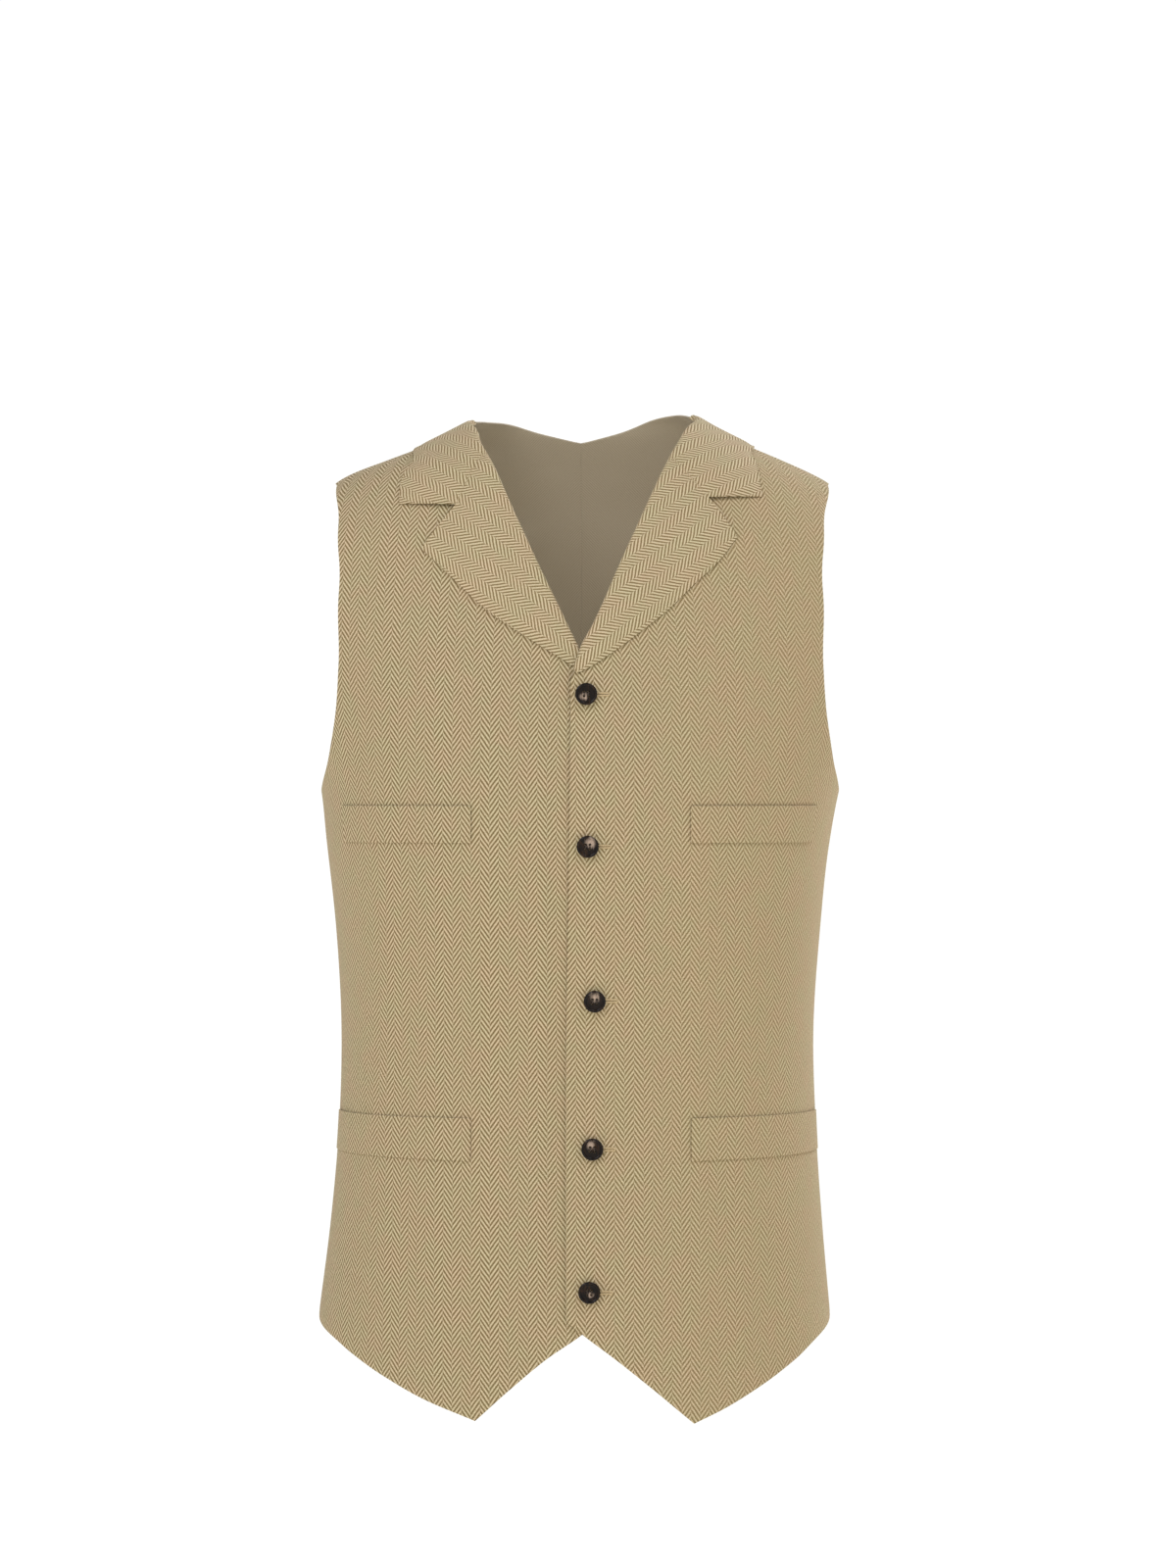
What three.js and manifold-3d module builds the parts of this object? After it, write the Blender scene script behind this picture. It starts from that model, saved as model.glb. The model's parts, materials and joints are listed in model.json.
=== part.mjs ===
// A single-breasted suit waistcoat with notched lapels, filled out as it is when worn, with nobody in it.
// Millimetres: +X to the wearer's left, -Y to the front, +Z up. The origin lies midway between the
// shoulder seams, level with their middle, where the wearer's shoulders carry the garment.

import * as THREE from 'three';
import { mergeVertices } from 'three/addons/utils/BufferGeometryUtils.js';
import Module from 'manifold-3d';

const wasm = await Module();
wasm.setup();

// Walls, each the cloth with its backing pressed together, and the clearances between pieces
const FRONT_WALL = 2.0;
const LAPEL_WALL = 2.0;
const BACK_WALL = 1.4;
const WELT_WALL = 1.2;
const SEAM_GAP = 0.3;
const LAY_GAP = 0.75;
const OVERLAP_GAP = 0.5;
const WELT_GAP = 0.55;

// The garment's outer face at each height: half widths to the wearer's right and left,
// depths to the front and back, joined round by a superellipse of this power
const FORM_POWER = 2.4;
const FORM = [
  { z: 34, right: 46, left: 53, front: 40, back: 44 },
  { z: 25, right: 59, left: 67, front: 46, back: 50 },
  { z: 20, right: 67, left: 75, front: 49, back: 53 },
  { z: 10, right: 84, left: 91.5, front: 54, back: 57 },
  { z: 0, right: 105, left: 112.5, front: 61, back: 63 },
  { z: -10, right: 131, left: 136, front: 67, back: 69 },
  { z: -20, right: 157, left: 158, front: 73, back: 74 },
  { z: -30, right: 174, left: 176, front: 78, back: 79 },
  { z: -60, right: 204, left: 204, front: 92, back: 90 },
  { z: -100, right: 207, left: 207, front: 106, back: 101 },
  { z: -150, right: 199, left: 199, front: 120, back: 109 },
  { z: -200, right: 186, left: 186, front: 129, back: 114 },
  { z: -231, right: 178, left: 177, front: 132, back: 115 },
  { z: -270, right: 173.5, left: 169.5, front: 131.5, back: 113 },
  { z: -330, right: 167, left: 163, front: 125, back: 108 },
  { z: -400, right: 163.5, left: 158.5, front: 115.5, back: 102 },
  { z: -460, right: 165, left: 160, front: 113, back: 105 },
  { z: -530, right: 171, left: 164.5, front: 116, back: 111 },
  { z: -593, right: 179, left: 170, front: 119, back: 115 },
  { z: -670, right: 188, left: 177, front: 122, back: 118 },
];

// Heights of the shoulder seams at the neck and at the tip
const SHOULDER = {
  right: { sign: -1, neck: 17, tip: -25.5 },
  left: { sign: 1, neck: 20.5, tip: -25.5 },
};

// The back neckline in plan, from the centre seam to near the shoulder seam, and the centre seam's foot
const BACK_NECK = [
  { x: 1, y: 59 },
  { x: 28, y: 54 },
  { x: 50, y: 42 },
  { x: 66, y: 22 },
];
const BACK_HEM_Z = -590;

// The side seam stands a little behind the widest line and ends at the underarm and at the hem
const SIDE_SEAM = { y: 18, underarm: -239, hem: -587 };

// The armhole seen from the side, forwards and backwards from the underarm to the shoulder tip
const ARMHOLE_FRONT = [
  { y: 0, z: -238 },
  { y: -30, z: -232 },
  { y: -57, z: -217 },
  { y: -75, z: -188 },
  { y: -81, z: -152 },
  { y: -78, z: -115 },
  { y: -71, z: -78 },
  { y: -55, z: -47 },
  { y: -28, z: -29 },
];
const ARMHOLE_BACK = [
  { y: 42, z: -228 },
  { y: 60, z: -205 },
  { y: 69, z: -170 },
  { y: 71, z: -125 },
  { y: 66, z: -80 },
  { y: 54, z: -48 },
  { y: 28, z: -29 },
];

// Front edges in front view, from the hem up to the foot of the lapel's fold:
// the wearer's left front laps over the right one
const FRONT_EDGE = {
  right: [
    { x: 22, z: -577 },
    { x: 22, z: -400 },
    { x: 22, z: -215 },
    { x: 19, z: -184 },
    { x: 10, z: -160 },
  ],
  left: [
    { x: -10, z: -585 },
    { x: -10, z: -425 },
    { x: -8, z: -295 },
    { x: -6.5, z: -163 },
  ],
};

// Folds of lapel and collar in front view, from the foot to just before the shoulder seam
const ROLL = {
  right: [
    { x: 4, z: -150 },
    { x: -0.5, z: -141 },
    { x: -13, z: -115 },
    { x: -26, z: -88 },
    { x: -38, z: -62 },
    { x: -50, z: -35 },
    { x: -57.5, z: -18 },
    { x: -66, z: -2.5 },
    { x: -70, z: 9 },
  ],
  left: [
    { x: -6, z: -157 },
    { x: -0.5, z: -141 },
    { x: 7.5, z: -126 },
    { x: 24, z: -88 },
    { x: 35.5, z: -62 },
    { x: 47.5, z: -35 },
    { x: 55.5, z: -18 },
    { x: 64.5, z: -1 },
    { x: 72, z: 11 },
  ],
};

// Lapels in front view: the outer edge from the foot to the point, and the notch's inner corner,
// with the height at which the gorge seam meets the fold
const LAPEL = {
  right: {
    gorge: -9,
    notch: { x: -83, z: -46 },
    edge: [
      { x: 1, z: -158 },
      { x: -14.5, z: -148 },
      { x: -36, z: -134.5 },
      { x: -60.5, z: -118 },
      { x: -84, z: -96 },
      { x: -106, z: -75 },
    ],
  },
  left: {
    gorge: -12,
    notch: { x: 84.5, z: -41 },
    edge: [
      { x: -2.5, z: -160 },
      { x: 8, z: -154.5 },
      { x: 24.5, z: -143 },
      { x: 41, z: -130 },
      { x: 58, z: -116 },
      { x: 74.5, z: -99.5 },
      { x: 91, z: -84 },
      { x: 104, z: -67 },
    ],
  },
};

// Collars in front view: the outer edge from the collar point up, and its height at the shoulder seam
const COLLAR = {
  right: {
    seam: 2,
    edge: [
      { x: -121, z: -44.5 },
      { x: -121, z: -31.5 },
      { x: -119, z: -24 },
      { x: -112.5, z: -14.5 },
    ],
  },
  left: {
    seam: -0.5,
    edge: [
      { x: 121, z: -39.5 },
      { x: 119.5, z: -29 },
      { x: 118, z: -17 },
      { x: 115, z: -8 },
    ],
  },
};

// Hems of the fronts in front view, from the front edge over the point to near the side seam
const HEM = {
  right: {
    inner: [{ x: 0, z: -594.5 }, { x: -24, z: -611 }, { x: -49, z: -632 }],
    point: { x: -70, z: -651 },
    outer: [{ x: -104, z: -638 }, { x: -132, z: -624 }, { x: -154, z: -611 }, { x: -167, z: -602.5 }],
  },
  left: {
    inner: [{ x: 2, z: -594.5 }, { x: 24, z: -611 }, { x: 50, z: -632 }],
    point: { x: 75, z: -653 },
    outer: [{ x: 97, z: -643 }, { x: 122, z: -629 }, { x: 143, z: -615.5 }, { x: 159, z: -603 }],
  },
};

// Pocket welts: inner end in front view, outer end in side view, top and depth at each end
const WELTS = [
  { name: 'welt_upper', inner: 72, outer: -69, top: -245.5, innerDepth: 24.5, outerDepth: 24.5 },
  { name: 'welt_lower', inner: 73, outer: -20, top: -452, innerDepth: 28.5, outerDepth: 26.5 },
];

// Buttons down the front, in front view, with one horizontal keyhole buttonhole each
const BUTTONS = [
  { x: 3.5, z: -173 },
  { x: 4.5, z: -272 },
  { x: 9, z: -373.5 },
  { x: 7.5, z: -472 },
  { x: 5.5, z: -566 },
];
const BUTTON = { radius: 7.25, thick: 3.1, edge: 1.6, rim: 1.5, dish: 0.8, holeRadius: 0.8, holeOffset: 1.4 };
const BUTTON_SEAT = 0.6;
const SHANK_GAP = 0.4;
const SHANK_RADIUS = 1.1;
const BUTTONHOLE = { length: 16, width: 1, eyelet: 1.7 };

// The over front is raised over the under front, and at the top over the under front's lapel as well
const OVERLAP = { flatTo: 26, endsAt: 62 };
const LAPEL_TAIL = { flatTo: 8, endsAt: 40, starts: -186, full: -164 };

// How far a lapel or collar stands off the front at the middle of its width
const SOFT_ROLL = 1.5;

// Grid steps: up the side seam, up the front edge above the underarm, up the centre back between the
// shoulder blades and along its neckline, along the lapel and the collar, and across a front, a back,
// a lapel and along a welt
const STEPS = {
  side: 12, edge: 3, blades: 9, neckline: 5, lapel: 9, collar: 5, front: 18, back: 14, flap: 6, welt: 11,
};
const FOLD_ANGLES = [180, 150, 120, 90];

const SUITING = { color: 0xb4a27f, roughness: 0.9, metalness: 0 };
const BACKING = { color: 0xb7a37c, roughness: 0.6, metalness: 0 };
const HORN = { color: 0x33241a, roughness: 0.3, metalness: 0 };
const THREAD = { color: 0x4a3a2a, roughness: 0.8, metalness: 0 };

// A column of the form table at height z, as a smooth curve through its rows
function formValue(column, z) {
  const last = FORM.length - 1;
  const height = Math.min(Math.max(z, FORM[last].z), FORM[0].z);
  let row = 0;
  while (row < last - 1 && height < FORM[row + 1].z) row += 1;
  const slope = (i) => (FORM[i + 1][column] - FORM[i][column]) / (FORM[i + 1].z - FORM[i].z);
  const span = (i) => FORM[i + 1].z - FORM[i].z;
  const tangent = (i) => {
    if (i === 0) return slope(0);
    if (i === last) return slope(last - 1);
    return (slope(i - 1) * span(i) + slope(i) * span(i - 1)) / (span(i) + span(i - 1));
  };
  const h = span(row);
  const t = (height - FORM[row].z) / h;
  return (
    (1 + 2 * t) * (1 - t) ** 2 * FORM[row][column] +
    t * (1 - t) ** 2 * h * tangent(row) +
    t * t * (3 - 2 * t) * FORM[row + 1][column] +
    t * t * (t - 1) * h * tangent(row + 1)
  );
}

// A point of the form at an angle round from the centre front and a height
function formPoint(phi, z) {
  const s = Math.sin(phi);
  const c = Math.cos(phi);
  const width = formValue(s > 0 ? 'left' : 'right', z);
  const depth = formValue(c > 0 ? 'front' : 'back', z);
  const sum = (Math.abs(s) / width) ** FORM_POWER + (Math.abs(c) / depth) ** FORM_POWER;
  const reach = sum ** (-1 / FORM_POWER);
  return new THREE.Vector3(reach * s, -reach * c, z);
}

// The form's two tangents, per radian round and per millimetre up
function formTangents(phi, z) {
  const turn = 1e-3;
  const rise = 0.5;
  const around = formPoint(phi + turn, z).sub(formPoint(phi - turn, z)).divideScalar(2 * turn);
  const up = formPoint(phi, z + rise).sub(formPoint(phi, z - rise)).divideScalar(2 * rise);
  return { around, up };
}

function formNormal(phi, z) {
  const { around, up } = formTangents(phi, z);
  return around.cross(up).normalize();
}

// A place on the form moved along a direction in its surface
function slide(place, direction, distance) {
  const { around, up } = formTangents(place.phi, place.z);
  const aa = around.dot(around);
  const au = around.dot(up);
  const uu = up.dot(up);
  const da = around.dot(direction) * distance;
  const du = up.dot(direction) * distance;
  const det = aa * uu - au * au;
  return { phi: place.phi + (da * uu - du * au) / det, z: place.z + (du * aa - da * au) / det };
}

// What a superellipse leaves: the share of its depth at a share of its width, or the other way round
function remainder(share) {
  return Math.max(0, 1 - Math.abs(share) ** FORM_POWER) ** (1 / FORM_POWER);
}

// A place on the front half of the form from its x and z, as seen from the front
function frontView({ x, z }) {
  const y = -formValue('front', z) * remainder(x / formValue(x > 0 ? 'left' : 'right', z));
  return { phi: Math.atan2(x, -y), z };
}

// A place on one side of the form from its y and z, as seen from that side
function sideView(side, { y, z }) {
  const width = formValue(side, z) * remainder(y / formValue(y > 0 ? 'back' : 'front', z));
  return { phi: Math.atan2(SHOULDER[side].sign * width, -y), z };
}

// A place on the back half of the form from its x and y in plan
function planView(side, { x, y }) {
  const beyond = (z) => (x / formValue(side, z)) ** FORM_POWER + (y / formValue('back', z)) ** FORM_POWER > 1;
  let [low, high] = [-30, FORM[0].z];
  for (let i = 0; i < 30; i += 1) {
    const z = (low + high) / 2;
    if (beyond(z)) high = z;
    else low = z;
  }
  return { phi: SHOULDER[side].sign * Math.atan2(x, -y), z: low };
}

// How far the wearer's left front is raised where it laps over the right one and its lapel
function overlapLift(x, z) {
  const { smoothstep } = THREE.MathUtils;
  const overFront = (FRONT_WALL + OVERLAP_GAP) * (1 - smoothstep(x, OVERLAP.flatTo, OVERLAP.endsAt));
  const across = 1 - smoothstep(x, LAPEL_TAIL.flatTo, LAPEL_TAIL.endsAt);
  const overLapel = (LAPEL_WALL + LAY_GAP) * across * smoothstep(z, LAPEL_TAIL.starts, LAPEL_TAIL.full);
  return overFront + overLapel;
}

// A place on a side's front moved outwards from the front's outer face
function offFront(side, place, out) {
  const point = formPoint(place.phi, place.z);
  const lift = side === 'left' ? overlapLift(point.x, point.z) : 0;
  return point.addScaledVector(formNormal(place.phi, place.z), out + lift);
}

function offForm(place, out) {
  return formPoint(place.phi, place.z).addScaledVector(formNormal(place.phi, place.z), out);
}

// Places at even steps along a smooth line through the given places
const TURN_SCALE = 150;
function walk(places, count) {
  const points = places.map((p) => new THREE.Vector3(p.phi * TURN_SCALE, p.z, 0));
  const curve = new THREE.CatmullRomCurve3(points, false, 'centripetal');
  return curve.getSpacedPoints(count).map((p) => ({ phi: p.x / TURN_SCALE, z: p.y }));
}

// The stretch of a rising line of places between two heights, at even steps
function stretch(places, from, to, count) {
  const fine = walk(places, 400);
  const at = (z) => {
    const i = Math.min(Math.max(fine.findIndex((p) => p.z >= z), 1), fine.length - 1);
    const share = (z - fine[i - 1].z) / (fine[i].z - fine[i - 1].z);
    return i - 1 + THREE.MathUtils.clamp(share, 0, 1);
  };
  const first = from === undefined ? 0 : at(from);
  const last = to === undefined ? fine.length - 1 : at(to);
  return Array.from({ length: count + 1 }, (_, k) => {
    const u = first + ((last - first) * k) / count;
    const i = Math.min(Math.floor(u), fine.length - 2);
    return mix(fine[i], fine[i + 1], u - i);
  });
}

function mix(a, b, share) {
  return { phi: a.phi + (b.phi - a.phi) * share, z: a.z + (b.z - a.z) * share };
}

// A grid of places between four borders: straight across from the left to the right border, with the
// bottom and top borders' own shapes fading out over the given shares of the height
function patch({ left, right, bottom, top, bottomReach = 0.4, topReach = 0.4 }) {
  const rows = left.length - 1;
  const columns = bottom.length - 1;
  return left.map((start, i) =>
    bottom.map((_, j) => {
      const s = j / columns;
      const t = i / rows;
      const ruled = mix(start, right[i], s);
      const low = Math.max(0, 1 - t / bottomReach) ** 2;
      const high = Math.max(0, 1 - (1 - t) / topReach) ** 2;
      const lowPlace = mix(left[0], right[0], s);
      const highPlace = mix(left[rows], right[rows], s);
      return {
        phi: ruled.phi + low * (bottom[j].phi - lowPlace.phi) + high * (top[j].phi - highPlace.phi),
        z: ruled.z + low * (bottom[j].z - lowPlace.z) + high * (top[j].z - highPlace.z),
      };
    }),
  );
}

// A closed wall between two grids of points with the same rows and columns
function wall(outer, inner) {
  const rows = outer.length;
  const columns = outer[0].length;
  const points = [...outer.flat(), ...inner.flat()];
  const sheet = rows * columns;
  const at = (face, i, j) => face * sheet + i * columns + j;
  const index = [];
  const quad = (a, b, c, d) => index.push(a, b, c, a, c, d);
  for (let i = 0; i < rows - 1; i += 1) {
    for (let j = 0; j < columns - 1; j += 1) {
      quad(at(0, i, j), at(0, i, j + 1), at(0, i + 1, j + 1), at(0, i + 1, j));
      quad(at(1, i, j), at(1, i + 1, j), at(1, i + 1, j + 1), at(1, i, j + 1));
    }
  }
  for (let j = 0; j < columns - 1; j += 1) {
    quad(at(0, 0, j), at(1, 0, j), at(1, 0, j + 1), at(0, 0, j + 1));
    quad(at(0, rows - 1, j), at(0, rows - 1, j + 1), at(1, rows - 1, j + 1), at(1, rows - 1, j));
  }
  for (let i = 0; i < rows - 1; i += 1) {
    quad(at(0, i, 0), at(0, i + 1, 0), at(1, i + 1, 0), at(1, i, 0));
    quad(at(0, i, columns - 1), at(1, i, columns - 1), at(1, i + 1, columns - 1), at(0, i + 1, columns - 1));
  }
  return facingOut(points, index);
}

// A geometry from points and triangles, turned so that its faces point out of the solid
function facingOut(points, index) {
  let volume = 0;
  for (let k = 0; k < index.length; k += 3) {
    const [a, b, c] = [points[index[k]], points[index[k + 1]], points[index[k + 2]]];
    volume += a.dot(new THREE.Vector3().crossVectors(b, c));
  }
  const geometry = new THREE.BufferGeometry().setFromPoints(points);
  geometry.setIndex(volume > 0 ? index : [...index].reverse());
  geometry.computeVertexNormals();
  return geometry;
}

function toSolid(geometry) {
  const bare = geometry.clone();
  bare.deleteAttribute('normal');
  bare.deleteAttribute('uv');
  const merged = mergeVertices(bare, 1e-4);
  const vertProperties = new Float32Array(merged.attributes.position.array);
  const triVerts = new Uint32Array(merged.index.array);
  return new wasm.Manifold(new wasm.Mesh({ numProp: 3, vertProperties, triVerts }));
}

function toGeometry(solid) {
  const mesh = solid.getMesh();
  const geometry = new THREE.BufferGeometry();
  geometry.setAttribute('position', new THREE.BufferAttribute(new Float32Array(mesh.vertProperties), 3));
  geometry.setIndex(new THREE.BufferAttribute(new Uint32Array(mesh.triVerts), 1));
  geometry.computeVertexNormals();
  return geometry;
}

const group = new THREE.Group();
function add(name, geometry, finish) {
  const mesh = new THREE.Mesh(geometry, new THREE.MeshStandardMaterial(finish));
  mesh.name = name;
  group.add(mesh);
}

// The fold runs square into the shoulder seam
const SEAM_CROSSING = new THREE.Vector3(0, 1, 0);

// The fold of a side's lapel and collar: at each step the place of the front's edge inside the fold,
// the direction from the fold over the front, and the normal there
function fold(side) {
  const { sign, neck } = SHOULDER[side];
  const places = ROLL[side].map(frontView);
  places.push(sideView(side, { y: -SEAM_GAP / 2, z: neck }));
  const gorge = LAPEL[side].gorge;
  const line = [
    ...stretch(places, undefined, gorge, STEPS.lapel),
    ...stretch(places, gorge, undefined, STEPS.collar).slice(1),
  ];
  return line.map((place, i) => {
    const before = line[Math.max(i - 1, 0)];
    const after = line[i + 1];
    const along = after ? offForm(after, 0).sub(offForm(before, 0)) : SEAM_CROSSING.clone();
    const normal = formNormal(place.phi, place.z);
    const over = new THREE.Vector3().crossVectors(normal, along).normalize();
    if (over.x * sign < 0) over.negate();
    return { place: slide(place, over, LAPEL_WALL + SEAM_GAP), over, normal };
  });
}

// The hem of a front from its front edge, with the point at a step of its own
function frontHem(side, columns) {
  const { inner, point, outer } = HEM[side];
  const pointStep = Math.round(columns * 0.36);
  const corner = frontView(FRONT_EDGE[side][0]);
  const seam = sideView(side, { y: SIDE_SEAM.y - SEAM_GAP / 2, z: SIDE_SEAM.hem });
  const towardsEdge = walk([corner, ...inner.map(frontView), frontView(point)], pointStep);
  const towardsSeam = walk([frontView(point), ...outer.map(frontView), seam], columns - pointStep);
  return [...towardsEdge, ...towardsSeam.slice(1)];
}

// The side seam and armhole of a front (facing -1) or a back (facing 1), from the hem to the shoulder tip
function sideBorder(side, facing, hem, armhole, upperSteps) {
  const y = SIDE_SEAM.y + (facing * SEAM_GAP) / 2;
  const underarm = sideView(side, { y, z: SIDE_SEAM.underarm });
  const tip = sideView(side, { y: (facing * SEAM_GAP) / 2, z: SHOULDER[side].tip });
  const seam = Array.from({ length: STEPS.side + 1 }, (_, i) =>
    sideView(side, { y, z: hem + ((SIDE_SEAM.underarm - hem) * i) / STEPS.side }),
  );
  const hole = walk([underarm, ...armhole.map((p) => sideView(side, p)), tip], upperSteps);
  return [...seam, ...hole.slice(1)];
}

// The grid of a front: hem to shoulder seam, front edge and fold to side seam and armhole
function frontGrid(side, foldLine) {
  const edge = FRONT_EDGE[side].map(frontView);
  const left = [
    ...stretch(edge, undefined, SIDE_SEAM.underarm, STEPS.side),
    ...stretch(edge, SIDE_SEAM.underarm, undefined, STEPS.edge).slice(1),
    ...foldLine.map((step) => step.place),
  ];
  const upperSteps = left.length - 1 - STEPS.side;
  const right = sideBorder(side, -1, SIDE_SEAM.hem, ARMHOLE_FRONT, upperSteps);
  const neckEnd = left[left.length - 1].z;
  const top = Array.from({ length: STEPS.front + 1 }, (_, j) =>
    sideView(side, { y: -SEAM_GAP / 2, z: neckEnd + ((SHOULDER[side].tip - neckEnd) * j) / STEPS.front }),
  );
  left[left.length - 1] = top[0];
  return patch({ left, right, bottom: frontHem(side, STEPS.front), top });
}

function front(side, foldLine) {
  const grid = frontGrid(side, foldLine);
  const outer = grid.map((row) => row.map((place) => offFront(side, place, 0)));
  const inner = grid.map((row) => row.map((place) => offFront(side, place, -FRONT_WALL)));
  return wall(outer, inner);
}

// The place and axes of a button on the raised left front: its x axis level, its z axis out of the cloth
function buttonFrame({ x, z }, out) {
  const { radius } = BUTTON;
  const seat = (across, up) => offFront('left', frontView({ x: x + across, z: z + up }), 0);
  const across = seat(radius, 0).sub(seat(-radius, 0));
  const up = seat(0, radius).sub(seat(0, -radius));
  const normal = across.cross(up).normalize();
  const level = new THREE.Vector3(0, 0, 1).cross(normal).normalize();
  const upright = new THREE.Vector3().crossVectors(normal, level);
  const position = seat(0, 0).addScaledVector(normal, out);
  return new THREE.Matrix4().makeBasis(level, upright, normal).setPosition(position);
}

// A keyhole: a round eye at the button's shank and a slit that runs away from the front edge
function buttonholeCutter(place) {
  const { length, width, eyelet } = BUTTONHOLE;
  const opening = Math.asin(width / 2 / eyelet);
  const shape = new THREE.Shape();
  shape.absarc(0, 0, eyelet, opening, 2 * Math.PI - opening, false);
  shape.lineTo(length - eyelet, -width / 2);
  shape.lineTo(length - eyelet, width / 2);
  shape.closePath();
  const depth = 3 * FRONT_WALL;
  const cutter = new THREE.ExtrudeGeometry(shape, { depth, bevelEnabled: false, curveSegments: 10 });
  return cutter.applyMatrix4(buttonFrame(place, -2 * FRONT_WALL));
}

function cutButtonholes(geometry) {
  let solid = toSolid(geometry);
  for (const place of BUTTONS) solid = solid.subtract(toSolid(buttonholeCutter(place)));
  return toGeometry(solid);
}

// A back half: hem to shoulder seam, centre seam and neckline to side seam and armhole
function back(side) {
  const { sign, neck, tip } = SHOULDER[side];
  const centre = (z) => ({ phi: sign * (Math.PI - SEAM_GAP / 2 / formValue('back', z)), z });
  const neckPoint = sideView(side, { y: SEAM_GAP / 2, z: neck });
  const neckline = walk([...BACK_NECK.map((spot) => planView(side, spot)), neckPoint], STEPS.neckline);
  neckline[0] = centre(neckline[0].z);
  const rise = (from, to, steps) =>
    Array.from({ length: steps }, (_, i) => centre(from + ((to - from) * i) / steps));
  const seam = sideView(side, { y: SIDE_SEAM.y + SEAM_GAP / 2, z: SIDE_SEAM.hem });
  const grid = patch({
    left: [
      ...rise(BACK_HEM_Z, SIDE_SEAM.underarm, STEPS.side),
      ...rise(SIDE_SEAM.underarm, neckline[0].z, STEPS.blades),
      ...neckline,
    ],
    right: sideBorder(side, 1, SIDE_SEAM.hem, ARMHOLE_BACK, STEPS.blades + STEPS.neckline),
    bottom: walk([centre(BACK_HEM_Z), mix(centre(BACK_HEM_Z), seam, 0.5), seam], STEPS.back),
    top: Array.from({ length: STEPS.back + 1 }, (_, j) =>
      sideView(side, { y: SEAM_GAP / 2, z: neck + ((tip - neck) * j) / STEPS.back }),
    ),
  });
  const outer = grid.map((row) => row.map((place) => offForm(place, 0)));
  const inner = grid.map((row) => row.map((place) => offForm(place, -BACK_WALL)));
  return wall(outer, inner);
}

// A lapel or collar: round the front's edge as a fold, then over the front to its outer edge.
// Each step of the fold carries one row of the flap's grid of places.
function folded(side, foldLine, flap, softness) {
  const centre = LAY_GAP - SEAM_GAP;
  const face = (thickness) =>
    foldLine.map(({ place, over, normal }, i) => {
      const edge = offFront(side, place, 0);
      const at = (across, out) => edge.clone().addScaledVector(over, across).addScaledVector(normal, out);
      const radius = LAY_GAP + thickness;
      const turn = FOLD_ANGLES.map((degrees) => {
        const angle = THREE.MathUtils.degToRad(degrees);
        return at(centre + radius * Math.cos(angle), radius * Math.sin(angle));
      });
      const lying = flap[i].slice(1).map((spot, j) => {
        const share = (j + 1) / (flap[i].length - 1);
        const roll = SOFT_ROLL * softness(i / (foldLine.length - 1)) * Math.sin(Math.PI * share);
        return offFront(side, spot, radius + roll);
      });
      return [at(centre - radius, -FRONT_WALL), ...turn, ...lying];
    });
  return wall(face(LAPEL_WALL), face(0));
}

// The lapel's flap ends at the gorge seam, which turns down at the notch to the lapel's point
function lapel(side, foldLine) {
  const line = foldLine.slice(0, STEPS.lapel + 1);
  const { notch, edge } = LAPEL[side];
  const left = line.map((step) => step.place);
  const right = walk(edge.map(frontView), STEPS.lapel);
  const gorge = left[left.length - 1];
  const half = STEPS.flap / 2;
  const corner = frontView(notch);
  const top = [
    ...Array.from({ length: half + 1 }, (_, j) => mix(gorge, corner, j / half)),
    ...Array.from({ length: half }, (_, j) => mix(corner, right[STEPS.lapel], (j + 1) / half)),
  ];
  const bottom = Array.from({ length: STEPS.flap + 1 }, (_, j) => mix(left[0], right[0], j / STEPS.flap));
  const flap = patch({ left, right, bottom, top, topReach: 0.35 });
  return folded(side, line, flap, (t) => THREE.MathUtils.smoothstep(t, 0.1, 0.5));
}

// The collar's flap starts a seam's gap above the gorge and ends at the shoulder seam
function collar(side, foldLine) {
  const line = foldLine.slice(STEPS.lapel);
  const { edge, seam } = COLLAR[side];
  const clear = new THREE.Vector3(0.88 * SHOULDER[side].sign, 0, 0.48);
  const above = (place) => slide(place, clear, 2 * SEAM_GAP);
  const raised = [{ ...line[0], place: mix(line[0].place, line[1].place, 0.07) }, ...line.slice(1)];
  const left = raised.map((step) => step.place);
  const end = sideView(side, { y: -SEAM_GAP / 2, z: seam });
  const right = walk([above(frontView(edge[0])), ...edge.slice(1).map(frontView), end], STEPS.collar);
  const corner = above(frontView(LAPEL[side].notch));
  const half = STEPS.flap / 2;
  const bottom = [
    ...Array.from({ length: half + 1 }, (_, j) => mix(left[0], corner, j / half)),
    ...Array.from({ length: half }, (_, j) => mix(corner, right[0], (j + 1) / half)),
  ];
  const neckEnd = left[left.length - 1];
  const top = Array.from({ length: STEPS.flap + 1 }, (_, j) =>
    sideView(side, { y: -SEAM_GAP / 2, z: neckEnd.z + ((seam - neckEnd.z) * j) / STEPS.flap }),
  );
  const flap = patch({ left, right, bottom, top, bottomReach: 0.6, topReach: 0.5 });
  return folded(side, raised, flap, (t) => 1 - t);
}

// A pocket welt: a strip laid on the front from its inner end towards the side seam
function welt(side, { inner, outer, top, innerDepth, outerDepth }) {
  const row = (innerZ, outerZ) => {
    const start = frontView({ x: SHOULDER[side].sign * inner, z: innerZ });
    const end = sideView(side, { y: outer, z: outerZ });
    return Array.from({ length: STEPS.welt + 1 }, (_, j) => mix(start, end, j / STEPS.welt));
  };
  const low = row(top - innerDepth, top - outerDepth);
  const high = row(top, top);
  const grid = [low, low.map((place, j) => mix(place, high[j], 0.5)), high];
  const face = (out) => grid.map((places) => places.map((place) => offFront(side, place, out)));
  return wall(face(WELT_GAP + WELT_WALL), face(WELT_GAP));
}

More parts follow.
